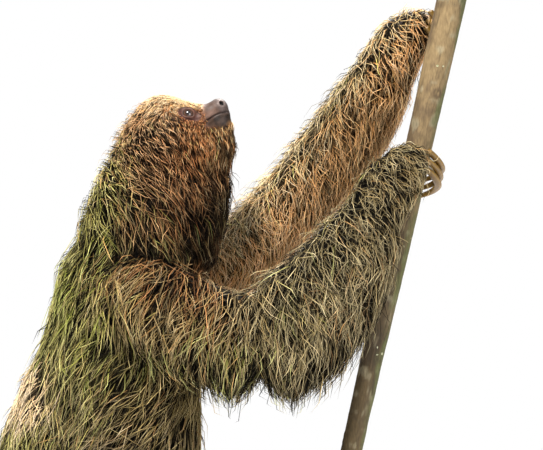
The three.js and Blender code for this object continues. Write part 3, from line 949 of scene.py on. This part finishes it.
def toneAlong(rng):
    path = grown["path"]
    count = len(path)
    colours = strandColours(path[:, 2], grown["outs"], rng)
    numbers = np.unique(grown["leader"], return_inverse=True)[1]
    tone = rng.lognormal(0, tones["strand"], count) * rng.lognormal(0, tones["lock"], count)[numbers]
    # in the short fur of the face and on the far arm the painted shade is gentler
    farArm = grown["share"] @ [part.endswith("left") and "arm" in part for part in partNames]
    flat = np.maximum(0.8 * grown["face"], 0.6 * farArm)
    tone = mix(tone * byKind(tones["kinds"]), byKind(tones["gentle"]), flat)
    colours = colours * tone[:, None, None]
    paler = np.clip(rng.normal(0.7, 0.3, count), 0.1, 1.3)[:, None]
    paler = paler * byKind(tones["tips"])[:, None]
    rootTone, strandTone, tipTone = colours[:, 0], colours[:, 1], colours[:, 2]
    along = [rootTone * 0.6, mix(rootTone, strandTone, 0.75), mix(strandTone, tipTone, 0.45 * paler)]
    along.append(mix(strandTone, tipTone, paler))
    along = np.stack(along, axis=1)
    # painted shade: what lies deep in the coat is darker, as if the strands above shadowed it
    depth = -sample(coatField, path.reshape(-1, 3)).reshape(path.shape[:2])
    # the wisps below the near arm take their painted shade from the depth of their own tips
    depth = depth - 0.8 * grown["below"][:, None] * np.maximum(depth[:, 3:], 0)
    shade = mix(1, tones["deepShade"], smooth(depth, 0.2, tones["deep"]) * (1 - 0.9 * grown["face"][:, None]))
    along = along * shade[:, :, None]
    # the brightest keep their hue, and fade a little towards straw as a painted highlight
    over = np.maximum(along.max(axis=2, keepdims=True) / tones["brightest"], 1)
    return mix(along / over, linear(*tones["straw"]), 0.5 * (1 - 1 / over))


patchWide = 0.003  # of each strand, on the unwrapped skin


def unwrappedSkin():  # where each corner of each triangle of the skin lies when it is unwrapped
    bpy.context.view_layer.objects.active = skin
    skin.select_set(True)
    bpy.ops.object.mode_set(mode="EDIT")
    bpy.ops.mesh.select_all(action="SELECT")
    bpy.ops.uv.smart_project(angle_limit=math.radians(66), island_margin=0.002)
    bpy.ops.object.mode_set(mode="OBJECT")
    layer = skin.data.uv_layers.active
    flat = np.empty(len(skin.data.loops) * 2, np.float32)
    layer.uv.foreach_get("vector", flat)
    skin.data.calc_loop_triangles()
    loops = np.empty(len(skin.data.loop_triangles) * 3, np.int32)
    skin.data.loop_triangles.foreach_get("loops", loops)
    skin.data.uv_layers.remove(layer)
    return flat.reshape(-1, 2)[loops.reshape(-1, 3)]


def coatPieceNames():  # which piece each strand belongs to
    which = np.array(partNames)[grown["share"].argmax(axis=1)]
    root = grown["path"][:, 0]
    side = np.where(root[:, 1] < 0, "right", "left")
    low, middle = coat["bands"]
    band = np.where(root[:, 2] < low, "low", np.where(root[:, 2] < middle, "middle", "upper"))
    names = ["coat_" + part for part in which]
    for i, part in enumerate(which):
        if part == "head":
            names[i] = f"coat_head_{side[i]}"
        elif part == "trunk":
            names[i] = f"coat_trunk_{band[i]}_{side[i]}"
    return np.array(names)


def makeCoat():
    rng = np.random.default_rng(coat["seed"] + 1)
    path, width, outs, bright = (grown[name] for name in ("path", "width", "outs", "bright"))
    along = toneAlong(rng)
    rootPlaces = np.einsum("ij,ijk->ik", grown["weights"], unwrappedSkin()[grown["chosen"]])
    names = coatPieceNames()
    material = paintedMaterial("fur", {"Roughness": 0.6, "Specular IOR Level": 0.08})
    total = 0
    for piece in np.unique(names):
        points, faces, colours, places, start = [], [], [], [], 0
        for rings, wanted in ((3, bright), (2, ~bright)):
            mine = np.flatnonzero((names == piece) & wanted)
            solid, sides = strandMesh(path[mine], width[mine], outs[mine], rings)
            each = solid.shape[1]
            points.append(solid.reshape(-1, 3))
            faces.append((sides[None] + start + (np.arange(len(mine)) * each)[:, None, None]).reshape(-1, 3))
            stations = [0] * 3 + [1] * 3 + [2] * 3 + [3] if rings == 3 else [0] * 3 + [2] * 3 + [3]
            colours.append(along[mine][:, stations].reshape(-1, 3))
            patch = np.array([[i % 3 / 2, station / 3] for i, station in enumerate(stations)])
            patch = (patch - 0.5) * patchWide
            places.append((rootPlaces[mine][:, None] + patch).reshape(-1, 2))
            start += len(mine) * each
        faces = np.vstack(faces)
        made = makePiece(str(piece), np.vstack(points), faces, material)
        paint(made, "shade", np.vstack(colours))
        layer = made.data.uv_layers.new(name="OFBake")
        layer.uv.foreach_set("vector", np.vstack(places)[faces.ravel()].astype(np.float32).ravel())
        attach(made, "root")
        total += len(faces)
        print("  ", piece, len(faces))
    print("coat triangles:", total)


makeCoat()


def skinTones():
    amount = markings(skinPoints, skinNormals)
    bare, _ = bareFace(skinPoints)
    inHead = mirrored(toHead(skinPoints))
    x, y, z = inHead.T
    # under the long coat the skin is dark, and under the short fur of the face it has the fur's own colour
    short = smooth(x, 0, 24) * smooth(z, -20, -8) * (np.linalg.norm(inHead, axis=1) < 80)
    under = mix(amount @ shadeTable[:, 0] * 0.7, amount @ shadeTable[:, 1] * 0.7, short[:, None])
    muzzle = tinted(
        linear(97, 73, 62),
        ((69, 50, 41), smooth(waves(inHead, 5, 51), -0.3, 0.6)),
        ((75, 65, 62), 0.75 * smooth(x + 0.3 * z, 42, 47)),  # greyer at the nose
    )
    ringTone = tinted(
        linear(64, 33, 22),
        ((88, 54, 41), smooth(waves(inHead, 3, 52), -0.2, 0.7)),
        ((126, 79, 49), smooth(x + 0.6 * z, 25, 32)),  # tan towards the muzzle
    )
    tone = mix(ringTone, muzzle, smooth(x - 0.4 * z, 21, 33)[:, None])
    lowerLip = tinted(linear(56, 40, 30), ((34, 23, 16), smooth(waves(inHead, 4, 53), -0.4, 0.5)))
    tone = mix(tone, lowerLip, smooth(lipLine(x) - z, 0, 2)[:, None] * smooth(x, 24, 30)[:, None])
    lips = bump(z - lipLine(x), 1.1) * smooth(x, mouth["corner"] - 1, mouth["corner"] + 3)
    hole = fromNostril(inHead) - nostril["radius"]
    along, up, out = aroundEye(inHead)
    lid = np.sqrt((along / eye["wide"]) ** 2 + (up / eye["tall"]) ** 2)
    upper = bump(up - 5.8 + 0.028 * along**2, 1.1) * (np.abs(along) < 12)
    near = out > 0
    tone = tinted(
        tone,
        # painted shade in the crease between the lips
        ((34, 20, 14), 0.85 * lips),
        ((124, 108, 103), 0.6 * bump(hole - 1.1, 0.8)),  # the nostril's pale rim
        # painted shade in the nostril's hollow
        ((10, 6, 5), 1 - smooth(hole, -0.5, 0.3)),
        ((58, 32, 26), 0.6 * near * bump(lid - 1.55, 0.25)),  # the lids, their pale edge, and the slit painted near black as shade round the eyeball
        ((108, 83, 74), 0.6 * near * bump(lid - 1.12, 0.07)),
        # painted shade in the slit round the eyeball
        ((20, 10, 8), near * (1 - smooth(lid, 0.96, 1.06))),
        ((40, 20, 13), 0.95 * near * upper),  # the fold over the eye
    )
    return mix(under, tone, bare[:, None])


def skinMaterial():
    material = newMaterial("skin", {"Specular IOR Level": 0.3, "Roughness": 0.52})
    nodes = {
        "painted": ("Attribute", {"attribute_name": "shade"}),
        "place": ("TexCoord",),
        "pores": ("TexNoise", {}, {"Scale": 900, "Detail": 4}),
        "relief": ("Bump", {}, {"Strength": 0.35, "Distance": 0.0006}),
        "mottle": ("Mix", {"data_type": "RGBA", "blend_type": "MULTIPLY"}, {"Factor": 0.5}),
        "spread": ("MapRange", {}, {"To Min": 0.45, "To Max": 1.45}),
    }
    addNodes(material.node_tree, nodes)
    wire(
        material.node_tree,
        "place.Object > pores.Vector",
        "pores.Fac > relief.Height",
        "relief.Normal > shader.Normal",
        "pores.Fac > spread.Value",
        "painted.Color > mottle.6",
        "spread.Result > mottle.7",
        "mottle.2 > shader.Base Color",
    )
    return material


skin.data.materials.clear()
skin.data.materials.append(skinMaterial())
paint(skin, "shade", skinTones())
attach(skin, "root")
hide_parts(*flesh)


def streaksGroup():  # fine streaks or grains, longer one way than another, for the colour and the relief
    given = {"Scale": ("Vector",), "Detail": ("Float", 4.0)}
    given |= {"Strength": ("Float", 0.3), "Depth": ("Float", 0.0003)}
    group = newGroup("streaks", "ShaderNodeTree", given, {"Value": ("Float",), "Normal": ("Vector",)})
    nodes = {
        "place": ("TexCoord",),
        "stretched": ("VectorMath", {"operation": "MULTIPLY"}),
        "noise": ("TexNoise", {}, {"Scale": 1}),
        "relief": ("Bump",),
    }
    addNodes(group, nodes)
    wire(
        group,
        "place.Object > stretched.0",
        "given.Scale > stretched.1",
        "stretched.Vector > noise.Vector",
        "given.Detail > noise.Detail",
        "noise.Fac > relief.Height",
        "given.Strength > relief.Strength",
        "given.Depth > relief.Distance",
        "noise.Fac > made.Value",
        "relief.Normal > made.Normal",
    )
    return group


streaks = streaksGroup()


def finishOf(name, roughness, scale, tints=None, relief=(0.3, 0.0003), metal=0.0, coated=0.0):
    shine = {"Roughness": roughness, "Metallic": metal, "Coat Weight": coated, "Coat Roughness": 0.08}
    material = newMaterial(name, shine)
    tree = material.node_tree
    grain = {"Scale": scale, "Strength": relief[0], "Depth": relief[1]}
    addNodes(tree, {"grain": ("Group", {"node_tree": streaks}, grain)})
    addNodes(tree, {"tone": ("Mix", {"data_type": "RGBA"})})
    if tints:
        for place, tint in zip((6, 7), tints):
            tree.nodes["tone"].inputs[place].default_value = (*linear(*tint), 1)
        addNodes(tree, {"spread": ("MapRange", {}, {"From Min": 0.35, "From Max": 0.65})})
        wire(tree, "grain.Value > spread.Value", "spread.Result > tone.Factor")
    else:  # the painted colour, made lighter and darker by the streaks
        tree.nodes["tone"].blend_type = "SOFT_LIGHT"
        tree.nodes["tone"].inputs["Factor"].default_value = 0.8
        addNodes(tree, {"painted": ("Attribute", {"attribute_name": "shade"})})
        wire(tree, "painted.Color > tone.6", "grain.Value > tone.7")
    wire(tree, "grain.Normal > shader.Normal", "tone.2 > shader.Base Color")
    return material


def tube(centres, across, over, sides):  # rings of points round a line of centres, closed at both ends
    turns = np.linspace(0, 2 * math.pi, sides, endpoint=False)
    rings = centres[:, None] + np.cos(turns)[None, :, None] * across[:, None]
    rings = rings + np.sin(turns)[None, :, None] * over[:, None]
    count = len(centres)
    points = np.vstack([rings.reshape(-1, 3), centres[:1], centres[-1:]])
    first, last = count * sides, count * sides + 1
    here = np.arange(sides)
    after = (here + 1) % sides
    faces = []
    for ring in range(count - 1):
        a, b = ring * sides + here, ring * sides + after
        faces += [np.stack([a, b, b + sides], axis=1), np.stack([a, b + sides, a + sides], axis=1)]
    end = (count - 1) * sides
    faces.append(np.stack([after, here, here * 0 + first], axis=1))
    faces.append(np.stack([end + here, end + after, here * 0 + last], axis=1))
    return points, np.vstack(faces)


# The eyes: dark balls with the cornea standing proud of them, under a wet gloss
eyeball = {"fineness": 5, "cornea": 0.4, "pupil": 0.3, "iris": 0.9, "limbus": 0.07}


def makeEye(side):
    ways, faces = unitBall(eyeball["fineness"])
    angle = np.arccos(np.clip(ways @ (eyeAxis * [1, side, 1]), -1, 1))
    radius = eye["radius"] - 0.05 + eyeball["cornea"] * (1 - smooth(angle, 0, eyeball["iris"]))
    middle = np.array(eye["at"]) * [1, side, 1]
    grain = waves(ways * 10, 1.1, 61)
    iris = tinted(linear(41, 23, 13), ((74, 45, 28), smooth(angle + 0.1 * grain, 0.35, 0.75)))
    outside = smooth(angle, eyeball["pupil"] - 0.03, eyeball["pupil"] + 0.03)
    tone = mix(linear(4, 3, 3), iris, outside[:, None])
    tone = tinted(
        tone,
        ((10, 6, 5), bump(angle - eyeball["iris"] + 0.06, eyeball["limbus"])),
        ((97, 81, 74), smooth(angle, eyeball["iris"], eyeball["iris"] + 0.12)),
    )
    name = "left" if side > 0 else "right"
    ball = makePiece(f"eyeball_{name}", fromHead(middle + ways * radius[:, None]), faces, eyeGloss)
    paint(ball, "shade", tone)
    settle(ball, "eye", f"eye_{name}")


print("eyes")
eyeGloss = paintedMaterial("eye gloss", {"Roughness": 0.08, "Coat Weight": 1, "Coat Roughness": 0.02})
for side in (-1, 1):
    makeEye(side)


# The claws: three long hooks to a paw, in the stem's own frame at the paw's height
clawSizes = {
    "hand": {"wide": 3, "deep": 3.6, "spacing": 7.8, "root": 8},
    "foot": {"wide": 2.6, "deep": 3.2, "spacing": 7.2, "root": 8},
}
grips = {
    "hand_right": {"side": -1, "height": 523, "from": 20, "to": 208, "drop": 40, "bow": 6.5},
    "hand_left": {"side": 1, "height": 652, "from": -40, "to": 56, "drop": 40, "bow": 1},
    "foot_right": {"side": -1, "height": 158, "from": 20, "to": 176, "drop": 26, "bow": 3},
    "foot_left": {"side": 1, "height": 198, "from": 20, "to": 176, "drop": 26, "bow": 3},
}
clawForm = {"stations": 44, "sides": 20, "thins": 0.84, "keel": 0.12, "hollow": 0.22}
clawForm |= {"tip": 0.04, "fuller": 0.25}
stemTurn = np.array([[math.cos(lean), 0, math.sin(lean)], [0, 1, 0], [-math.sin(lean), 0, math.cos(lean)]])


def makeClaw(paw, digit):
    grip, size = grips[paw], clawSizes[paw.split("_")[0]]
    share = np.linspace(0, 1, clawForm["stations"])
    taper = 1 - clawForm["thins"] * share**1.7
    angle = np.radians(mix(grip["from"], grip["to"], share))
    rise = size["root"] * (1 - share) ** 3 + grip["bow"] * np.sin(math.pi * share)
    out = girthAt(grip["height"]) + 1 + size["deep"] * taper + rise
    drop = -grip["drop"] * share - (digit - 1) * size["spacing"]
    centres = np.stack([out * np.sin(angle), grip["side"] * out * np.cos(angle), drop], axis=1)
    tangent = unit(np.gradient(centres, axis=0))
    across = unit(np.array([0, 0, 1.0]) - tangent[:, 2:] * tangent)
    outer = np.cross(across, tangent)
    outer = outer * np.sign(np.einsum("ij,ij->i", outer, centres * [1, 1, 0]))[:, None]
    ending = np.sqrt(np.clip(1 - smooth(share, 1 - clawForm["tip"], 1) ** 2, 0.02, 1))
    fuller = (1 + clawForm["fuller"] * np.sin(math.pi * share)) * ending
    wide, deep = size["wide"] * taper * fuller, size["deep"] * taper * fuller
    sides = clawForm["sides"]
    turns = np.linspace(0, 2 * math.pi, sides, endpoint=False)
    if np.linalg.det([across[0], outer[0], tangent[0]]) < 0:
        turns = -turns
    keeled = 1 + clawForm["keel"] * np.maximum(np.sin(turns), 0) ** 6
    hollow = 1 - clawForm["hollow"] * np.maximum(-np.sin(turns), 0)
    narrowed = np.cos(turns) * (1 - 0.1 * np.maximum(np.sin(turns), 0))
    across, outer = across * wide[:, None], outer * deep[:, None]
    ring = centres[:, None] + narrowed[None, :, None] * across[:, None]
    ring = ring + (np.sin(turns) * keeled * hollow)[None, :, None] * outer[:, None]
    points, faces = tube(centres, across, outer, sides)
    points[: ring.size // 3] = ring.reshape(-1, 3)
    round_, along = np.tile(turns, len(share)), np.repeat(share, sides)
    streak = waves(np.stack([round_ * 3, along * 2, 0 * along], axis=1), 0.5, 62)
    tone = tinted(
        linear(92, 66, 16),
        ((110, 80, 20), smooth(along, 0.05, 0.5)),
        ((84, 58, 20), smooth(along, 0.55, 0.95) * 0.8),
        ((150, 116, 44), 0.3 * np.clip(streak, 0, 1)),
        ((64, 42, 12), 0.5 * np.clip(-streak, 0, 1)),
        # painted highlight along the claw's keeled ridge
        ((160, 126, 56), 0.35 * np.sin(round_) ** 8),
    )
    tone = np.vstack([tone, tone[:1], tone[-1:]])
    name = f"{paw}_{digit}"
    piece = makePiece(f"horn_{name}", points @ stemTurn.T + stemAt(grip["height"]), faces, horn)
    paint(piece, "shade", tone)
    settle(piece, "claw", f"claw_{name}")


print("claws")
horn = finishOf("horn", 0.4, (900, 900, 160), relief=(0.15, 0.0002))
for paw in grips:
    for digit in (1, 2, 3):
        makeClaw(paw, digit)


# The stem's bark: fine ridges along it, slow swellings, knots, and sawn ends
bark = {"ring": 2, "sides": 96, "ridges": 0.22, "lumps": 0.2, "chamfer": 1.2, "knots": 9, "knot": 5.5}
bark |= {"flat": 12}  # the girth that its pattern is laid round


def makeBark():
    length = (stem["top"] - stem["foot"]) / math.cos(lean)
    count = int(length / bark["ring"])
    along = np.linspace(-length / 2, length / 2, count)
    start, end, half = along[:1], along[-1:], bark["chamfer"] / 2
    along = np.sort(np.concatenate([start, start + 1e-3 + half, along[1:-1], end - 1e-3 - half, end]))
    height = (stem["foot"] + stem["top"]) / 2 + along * math.cos(lean)
    girth = girthAt(height) + 0.35 * np.sin(along / 37) + 0.3 * np.sin(along / 83 + 1)
    girth = girth - bark["chamfer"] * np.maximum(1 - (length / 2 - np.abs(along)) / bark["chamfer"], 0)
    turns = np.linspace(0, 2 * math.pi, bark["sides"], endpoint=False)
    ahead, aside = np.array([math.cos(lean), 0, -math.sin(lean)]), np.array([0, 1.0, 0])
    ways = np.cos(turns)[:, None] * ahead + np.sin(turns)[:, None] * aside
    centres = stemAt(stem["foot"]) + stemWay * (along + length / 2)[:, None]
    round_ = np.cos(turns) * bark["flat"], np.sin(turns) * bark["flat"]
    flat = np.stack(np.broadcast_arrays(*round_, along[:, None]), axis=-1).reshape(-1, 3)
    ridges = waves(flat * [1, 1, 0.06], 1.5, 63) + 0.6 * waves(flat * [1, 1, 0.15], 0.8, 64)
    lumps = waves(flat, 26, 65) + 0.5 * waves(flat, 9, 66)
    rng = np.random.default_rng(67)
    knots = np.zeros(len(flat))
    for _ in range(bark["knots"]):
        turn, place = rng.uniform(0, 2 * math.pi), rng.uniform(-0.46, 0.46) * length
        away = flat - [bark["flat"] * math.cos(turn), bark["flat"] * math.sin(turn), place]
        away = np.hypot(np.hypot(away[:, 0], away[:, 1]), away[:, 2] * 0.8) / bark["knot"]
        knots = knots + 0.5 * bump(away - 0.55, 0.3) - 0.5 * bump(away, 0.3)
    relief = bark["ridges"] * ridges + bark["lumps"] * lumps + knots
    inside = (np.minimum(length / 2 - np.abs(along), 4) / 4)[:, None]
    relief = relief.reshape(len(along), -1) * inside
    rings = centres[:, None] + (girth[:, None] + relief)[:, :, None] * ways[None]
    level = np.ones((len(along), 1))
    points, faces = tube(centres, level * ahead, level * aside, len(turns))
    points[: len(flat)] = rings.reshape(-1, 3)
    # pale tan, browner lower down and darker there as painted shade, with grey blotches, and green on the
    # side away from the animal
    fine, broad = waves(flat * [1, 1, 0.4], 3, 68), waves(flat * [1, 1, 0.5], 17, 69)
    low = (1 - smooth(np.repeat(height, len(turns)) + 30 * broad, 330, 540))[:, None]
    turned = np.tile(np.cos(turns), len(along))
    green = smooth(turned + 0.5 * broad + 0.3 * fine, 0.45, 1.1)
    tone = tinted(linear(121, 101, 68), ((82, 65, 42), smooth(broad + 0.4 * fine, -0.5, 0.6)))
    # browner and darker below, the darkening being painted shade
    tone = mix(tone, tinted(linear(84, 69, 42), ((56, 44, 25), smooth(broad, -0.4, 0.5))), low)
    tone = tinted(
        tone,
        ((72, 56, 32), 0.7 * smooth(ridges, 0.15, 1.1)),
        ((134, 125, 99), 0.55 * smooth(waves(flat, 8, 70) + 0.5 * fine, 0.35, 0.8)),
        ((80, 84, 42), 0.75 * green),
        ((62, 46, 26), np.clip(np.abs(knots), 0, 0.5) * 1.4),
    )
    ends = np.array([linear(186, 152, 104), linear(196, 164, 116)])
    piece = makePiece("perch_bark", points, faces, finishOf("bark", 0.82, (700, 700, 180)))
    paint(piece, "shade", np.vstack([tone, ends]))
    growth = piece.data.attributes.new("growth", "FLOAT", "POINT")
    density = np.append(smooth(waves(flat, 22, 71) + 0.4 * turned, 0.2, 0.9), [0, 0])
    growth.data.foreach_set("value", density.astype(np.float32))
    settle(piece, "bark", "perch")
    return piece


def scatterTree():  # small flat crusts scattered over a surface, thickest where its growth value is high
    given = {
        "Geometry": ("Geometry",),
        "Density": ("Float", 9000.0),
        "Smallest": ("Float", 0.5),
        "Largest": ("Float", 1.6),
        "Seed": ("Int", 5),
        "Material": ("Material",),
    }
    tree = newGroup("scattered crusts", "GeometryNodeTree", given, {"Geometry": ("Geometry",)})
    nodes = {
        "value": ("GeometryNodeInputNamedAttribute", {}, {"Name": "growth"}),
        "thick": ("ShaderNodeMath", {"operation": "MULTIPLY"}),
        "points": ("GeometryNodeDistributePointsOnFaces",),
        "crust": ("GeometryNodeMeshIcoSphere", {}, {"Radius": 0.001, "Subdivisions": 2}),
        "size": ("FunctionNodeRandomValue", {"data_type": "FLOAT_VECTOR"}),
        "flat": ("ShaderNodeVectorMath", {"operation": "MULTIPLY"}, {1: (1, 1, 0.14)}),
        "copies": ("GeometryNodeInstanceOnPoints",),
        "solid": ("GeometryNodeRealizeInstances",),
        "dressed": ("GeometryNodeSetMaterial",),
    }
    addNodes(tree, nodes)
    wire(
        tree,
        "given.Geometry > points.Mesh",
        "value.Attribute > thick.0",
        "given.Density > thick.1",
        "thick.Value > points.Density",
        "given.Seed > points.Seed",
        "given.Smallest > size.Min",
        "given.Largest > size.Max",
        "given.Seed > size.Seed",
        "size.Value > flat.0",
        "points.Points > copies.Points",
        "points.Rotation > copies.Rotation",
        "crust.Mesh > copies.Instance",
        "flat.Vector > copies.Scale",
        "copies.Instances > solid.Geometry",
        "solid.Geometry > dressed.Geometry",
        "given.Material > dressed.Material",
        "dressed.Geometry > made.Geometry",
    )
    return tree


def grownByNodes(name, host, tree, material, slot, **values):  # a plain mesh of what the tree makes there
    piece = newObject(name, host.data.copy())
    modifier = piece.modifiers.new(name, "NODES")
    modifier.node_group = tree
    for socket in tree.interface.items_tree:
        if socket.in_out == "INPUT" and socket.name == "Material":
            modifier[socket.identifier] = material
        elif socket.in_out == "INPUT" and socket.name in values:
            modifier[socket.identifier] = values[socket.name]
    mesh = plainMesh(piece)
    piece.modifiers.clear()
    piece.data = mesh
    mesh.name = name
    settle(piece, slot)
    print("  ", name, len(mesh.polygons))


print("perch")
barkPiece = makeBark()
lichen = finishOf("lichen", 0.9, (500, 500, 500), tints=((132, 134, 96), (178, 176, 148)))
grownByNodes("perch_lichen", barkPiece, scatterTree(), lichen, "bark", Density=6000.0, Seed=5)


# The display stand: a stained wooden base, and two steel rods with collars and set screws
base = {"length": 420, "width": 280, "height": 20, "corner": 18, "bevel": 5, "foot": 0.8}
base |= {"steps": 6, "arc": 12}
rod = {"radius": 6, "chamfer": 0.6, "sunk": 8, "intoPerch": 16, "bodyX": -86, "bodyTop": 96, "sides": 48}
collar = {"radius": 15, "height": 7, "gap": 0.35, "chamfer": 0.8, "screws": 3}


def roundedRing(inset, height):  # the base's outline, drawn in by the inset
    x, y = base["length"] / 2 - base["corner"], base["width"] / 2 - base["corner"]
    points = []
    for quarter, (cornerX, cornerY) in enumerate([(x, y), (-x, y), (-x, -y), (x, -y)]):
        for step in range(base["arc"] + 1):
            turn = (quarter + step / base["arc"]) * math.pi / 2
            round_ = base["corner"] - inset
            points.append((cornerX + round_ * math.cos(turn), cornerY + round_ * math.sin(turn), height))
    return np.array(points)


def stacked(rings):  # rings of points with the same count, joined and closed at both ends
    sides = len(rings[0])
    centres = np.array([ring.mean(axis=0) for ring in rings])
    points, faces = tube(centres, centres * 0, centres * 0, sides)
    points[: len(rings) * sides] = np.vstack(rings)
    return points, faces


def makeBase():
    profile = [(base["foot"], 0.0), (0.0, base["foot"])]
    for step in range(base["steps"] + 1):
        turn = step / base["steps"] * math.pi / 2
        inset = base["bevel"] * (1 - math.cos(turn))
        profile.append((inset, base["height"] - base["bevel"] * (1 - math.sin(turn))))
    points, faces = stacked([roundedRing(inset, height) for inset, height in profile])
    piece = makePiece("stand_wood", points, faces, wood)
    sharpen(piece)
    settle(piece, "plinth", "stand_base")


def cylinder(name, x, radius, low, high, edge, node):  # upright, of steel, with its edges broken
    turns = np.linspace(0, 2 * math.pi, rod["sides"], endpoint=False)
    rings = []
    inner = radius - edge
    for wide, height in ((inner, low), (radius, low + edge), (radius, high - edge), (inner, high)):
        rings.append(np.stack([x + wide * np.cos(turns), wide * np.sin(turns), 0 * turns + height], axis=1))
    piece = makePiece(name, *stacked(rings), steel)
    sharpen(piece)
    settle(piece, "steel", node)
    return piece


def sharpen(piece, angle=35):  # edges steeper than this stay crisp
    bpy.context.view_layer.objects.active = piece
    for other in bpy.context.selected_objects:
        other.select_set(False)
    piece.select_set(True)
    bpy.ops.object.shade_smooth_by_angle(angle=math.radians(angle))


def screwTree():  # set screws round a collar, each a ring with a six-sided socket
    given = {
        "Geometry": ("Geometry",),
        "Count": ("Int", 3),
        "Middle": ("Vector",),
        "Radius": ("Float", 0.015),
        "Size": ("Float", 0.0017),
        "Material": ("Material",),
    }
    tree = newGroup("set screws", "GeometryNodeTree", given, {"Geometry": ("Geometry",)})
    nodes = {
        "ring": ("GeometryNodeMeshCircle",),
        "way": ("GeometryNodeInputPosition",),
        "facing": ("FunctionNodeAlignRotationToVector", {"axis": "Z"}),
        "cap": ("GeometryNodeMeshCylinder", {}, {"Vertices": 24, "Depth": 0.0012}),
        "hexagon": ("GeometryNodeMeshCylinder", {}, {"Vertices": 6, "Depth": 0.0013}),
        "half": ("ShaderNodeMath", {"operation": "MULTIPLY"}, {1: 0.5}),
        "both": ("GeometryNodeJoinGeometry",),
        "copies": ("GeometryNodeInstanceOnPoints",),
        "moved": ("GeometryNodeTransform",),
        "solid": ("GeometryNodeRealizeInstances",),
        "dressed": ("GeometryNodeSetMaterial",),
    }
    addNodes(tree, nodes)
    wire(
        tree,
        "given.Count > ring.Vertices",
        "given.Radius > ring.Radius",
        "way.Position > facing.Vector",
        "given.Size > cap.Radius",
        "given.Size > half.0",
        "half.Value > hexagon.Radius",
        "cap.Mesh > both.Geometry",
        "hexagon.Mesh > both.Geometry",
        "ring.Mesh > copies.Points",
        "both.Geometry > copies.Instance",
        "facing.Rotation > copies.Rotation",
        "copies.Instances > solid.Geometry",
        "solid.Geometry > moved.Geometry",
        "given.Middle > moved.Translation",
        "moved.Geometry > dressed.Geometry",
        "given.Material > dressed.Material",
        "dressed.Geometry > made.Geometry",
    )
    return tree


print("stand")
wood = finishOf("stained wood", 0.42, (9, 150, 150), tints=((44, 25, 14), (98, 62, 36)), coated=0.25)
steel = finishOf("brushed steel", 0.3, (1500, 1500, 60), tints=((150, 152, 155), (190, 192, 195)), metal=1.0)
darkSteel = finishOf("dark steel", 0.35, (900, 900, 900), tints=((52, 52, 54), (78, 78, 80)), metal=1.0)
makeBase()
perchFoot = stemAt(stem["foot"] + rod["intoPerch"] / 2)[0]
screws = screwTree()
places = {"body": (rod["bodyX"], rod["bodyTop"]), "perch": (perchFoot, stem["foot"] + rod["intoPerch"])}
low = base["height"] + collar["gap"]
high = low + collar["height"]
for name, (x, top) in places.items():
    foot, node = base["height"] - rod["sunk"], f"stand_rod_{name}"
    cylinder(f"stand_rod_steel_{name}", x, rod["radius"], foot, top, rod["chamfer"], node)
    node = f"stand_collar_{name}"
    ring = cylinder(f"stand_collar_steel_{name}", x, collar["radius"], low, high, collar["chamfer"], node)
    middle = (x * mm, 0.0, (low + high) / 2 * mm)
    settings = {"Count": collar["screws"], "Middle": middle}
    grownByNodes(f"stand_screws_{name}", ring, screws, darkSteel, "steel", **settings)


# Camera, light and floor
view = {"across": 77.4, "up": 451.25, "away": 3750, "covers": 516, "sensor": 36}
camera = newObject("camera", bpy.data.cameras.new("camera"))
camera.location = Vector((view["across"], -view["away"], view["up"])) * mm
camera.rotation_euler = (math.pi / 2, 0, 0)
camera.data.sensor_width = view["sensor"]
camera.data.lens = view["sensor"] * view["away"] / view["covers"]
camera.data.clip_end = 40
bpy.context.scene.camera = camera
bpy.context.scene.view_settings.view_transform = "Standard"

lights = {  # place and target in metres, size in metres, power in watts, colour
    "key": ((-0.7, -1.5, 2.9), (0.0, 0, 0.42), 0.8, 195, (1.0, 0.97, 0.92)),
    "fill": ((1.7, -2.0, 1.0), (0.05, 0, 0.4), 1.8, 40, (0.97, 0.97, 1.0)),
    "rim": ((0.4, 1.6, 2.3), (0.0, 0, 0.42), 1.2, 96, (1.0, 0.98, 0.95)),
}
for name, (place, target, size, power, colour) in lights.items():
    lamp = newObject(name, bpy.data.lights.new(name, "AREA"))
    lamp.location = place
    lamp.rotation_euler = (Vector(target) - Vector(place)).to_track_quat("-Z", "Y").to_euler()
    lamp.data.size = size
    lamp.data.energy = power
    lamp.data.color = colour

world = bpy.data.worlds.new("studio")
bpy.context.scene.world = world
world.use_nodes = True
shine = world.node_tree.nodes["Background"].inputs
shine["Color"].default_value = (0.93, 0.96, 1.0, 1)
shine["Strength"].default_value = 0.48
nodes = {
    "white": ("Background", {}, {"Color": (1, 1, 1, 1)}),
    "seen": ("LightPath",),
    "choose": ("MixShader",),
}
addNodes(world.node_tree, nodes)
wire(
    world.node_tree,
    "seen.Is Camera Ray > choose.Fac",
    "Background.Background > choose.1",
    "white.Background > choose.2",
    "choose.Shader > World Output.Surface",
)


def floorPiece(radius=1500, sides=96):
    turns = np.linspace(0, 2 * math.pi, sides, endpoint=False)
    rim = np.stack([radius * np.cos(turns), radius * np.sin(turns), 0 * turns], axis=1)
    faces = np.array([[i, (i + 1) % sides, sides] for i in range(sides)])
    floorPaint = newMaterial("floorPaint", {"Base Color": (0.8, 0.79, 0.77, 1), "Roughness": 0.8})
    return makePiece("floor", np.vstack([rim, [[0, 0, 0]]]), faces, floorPaint)


floorPiece()
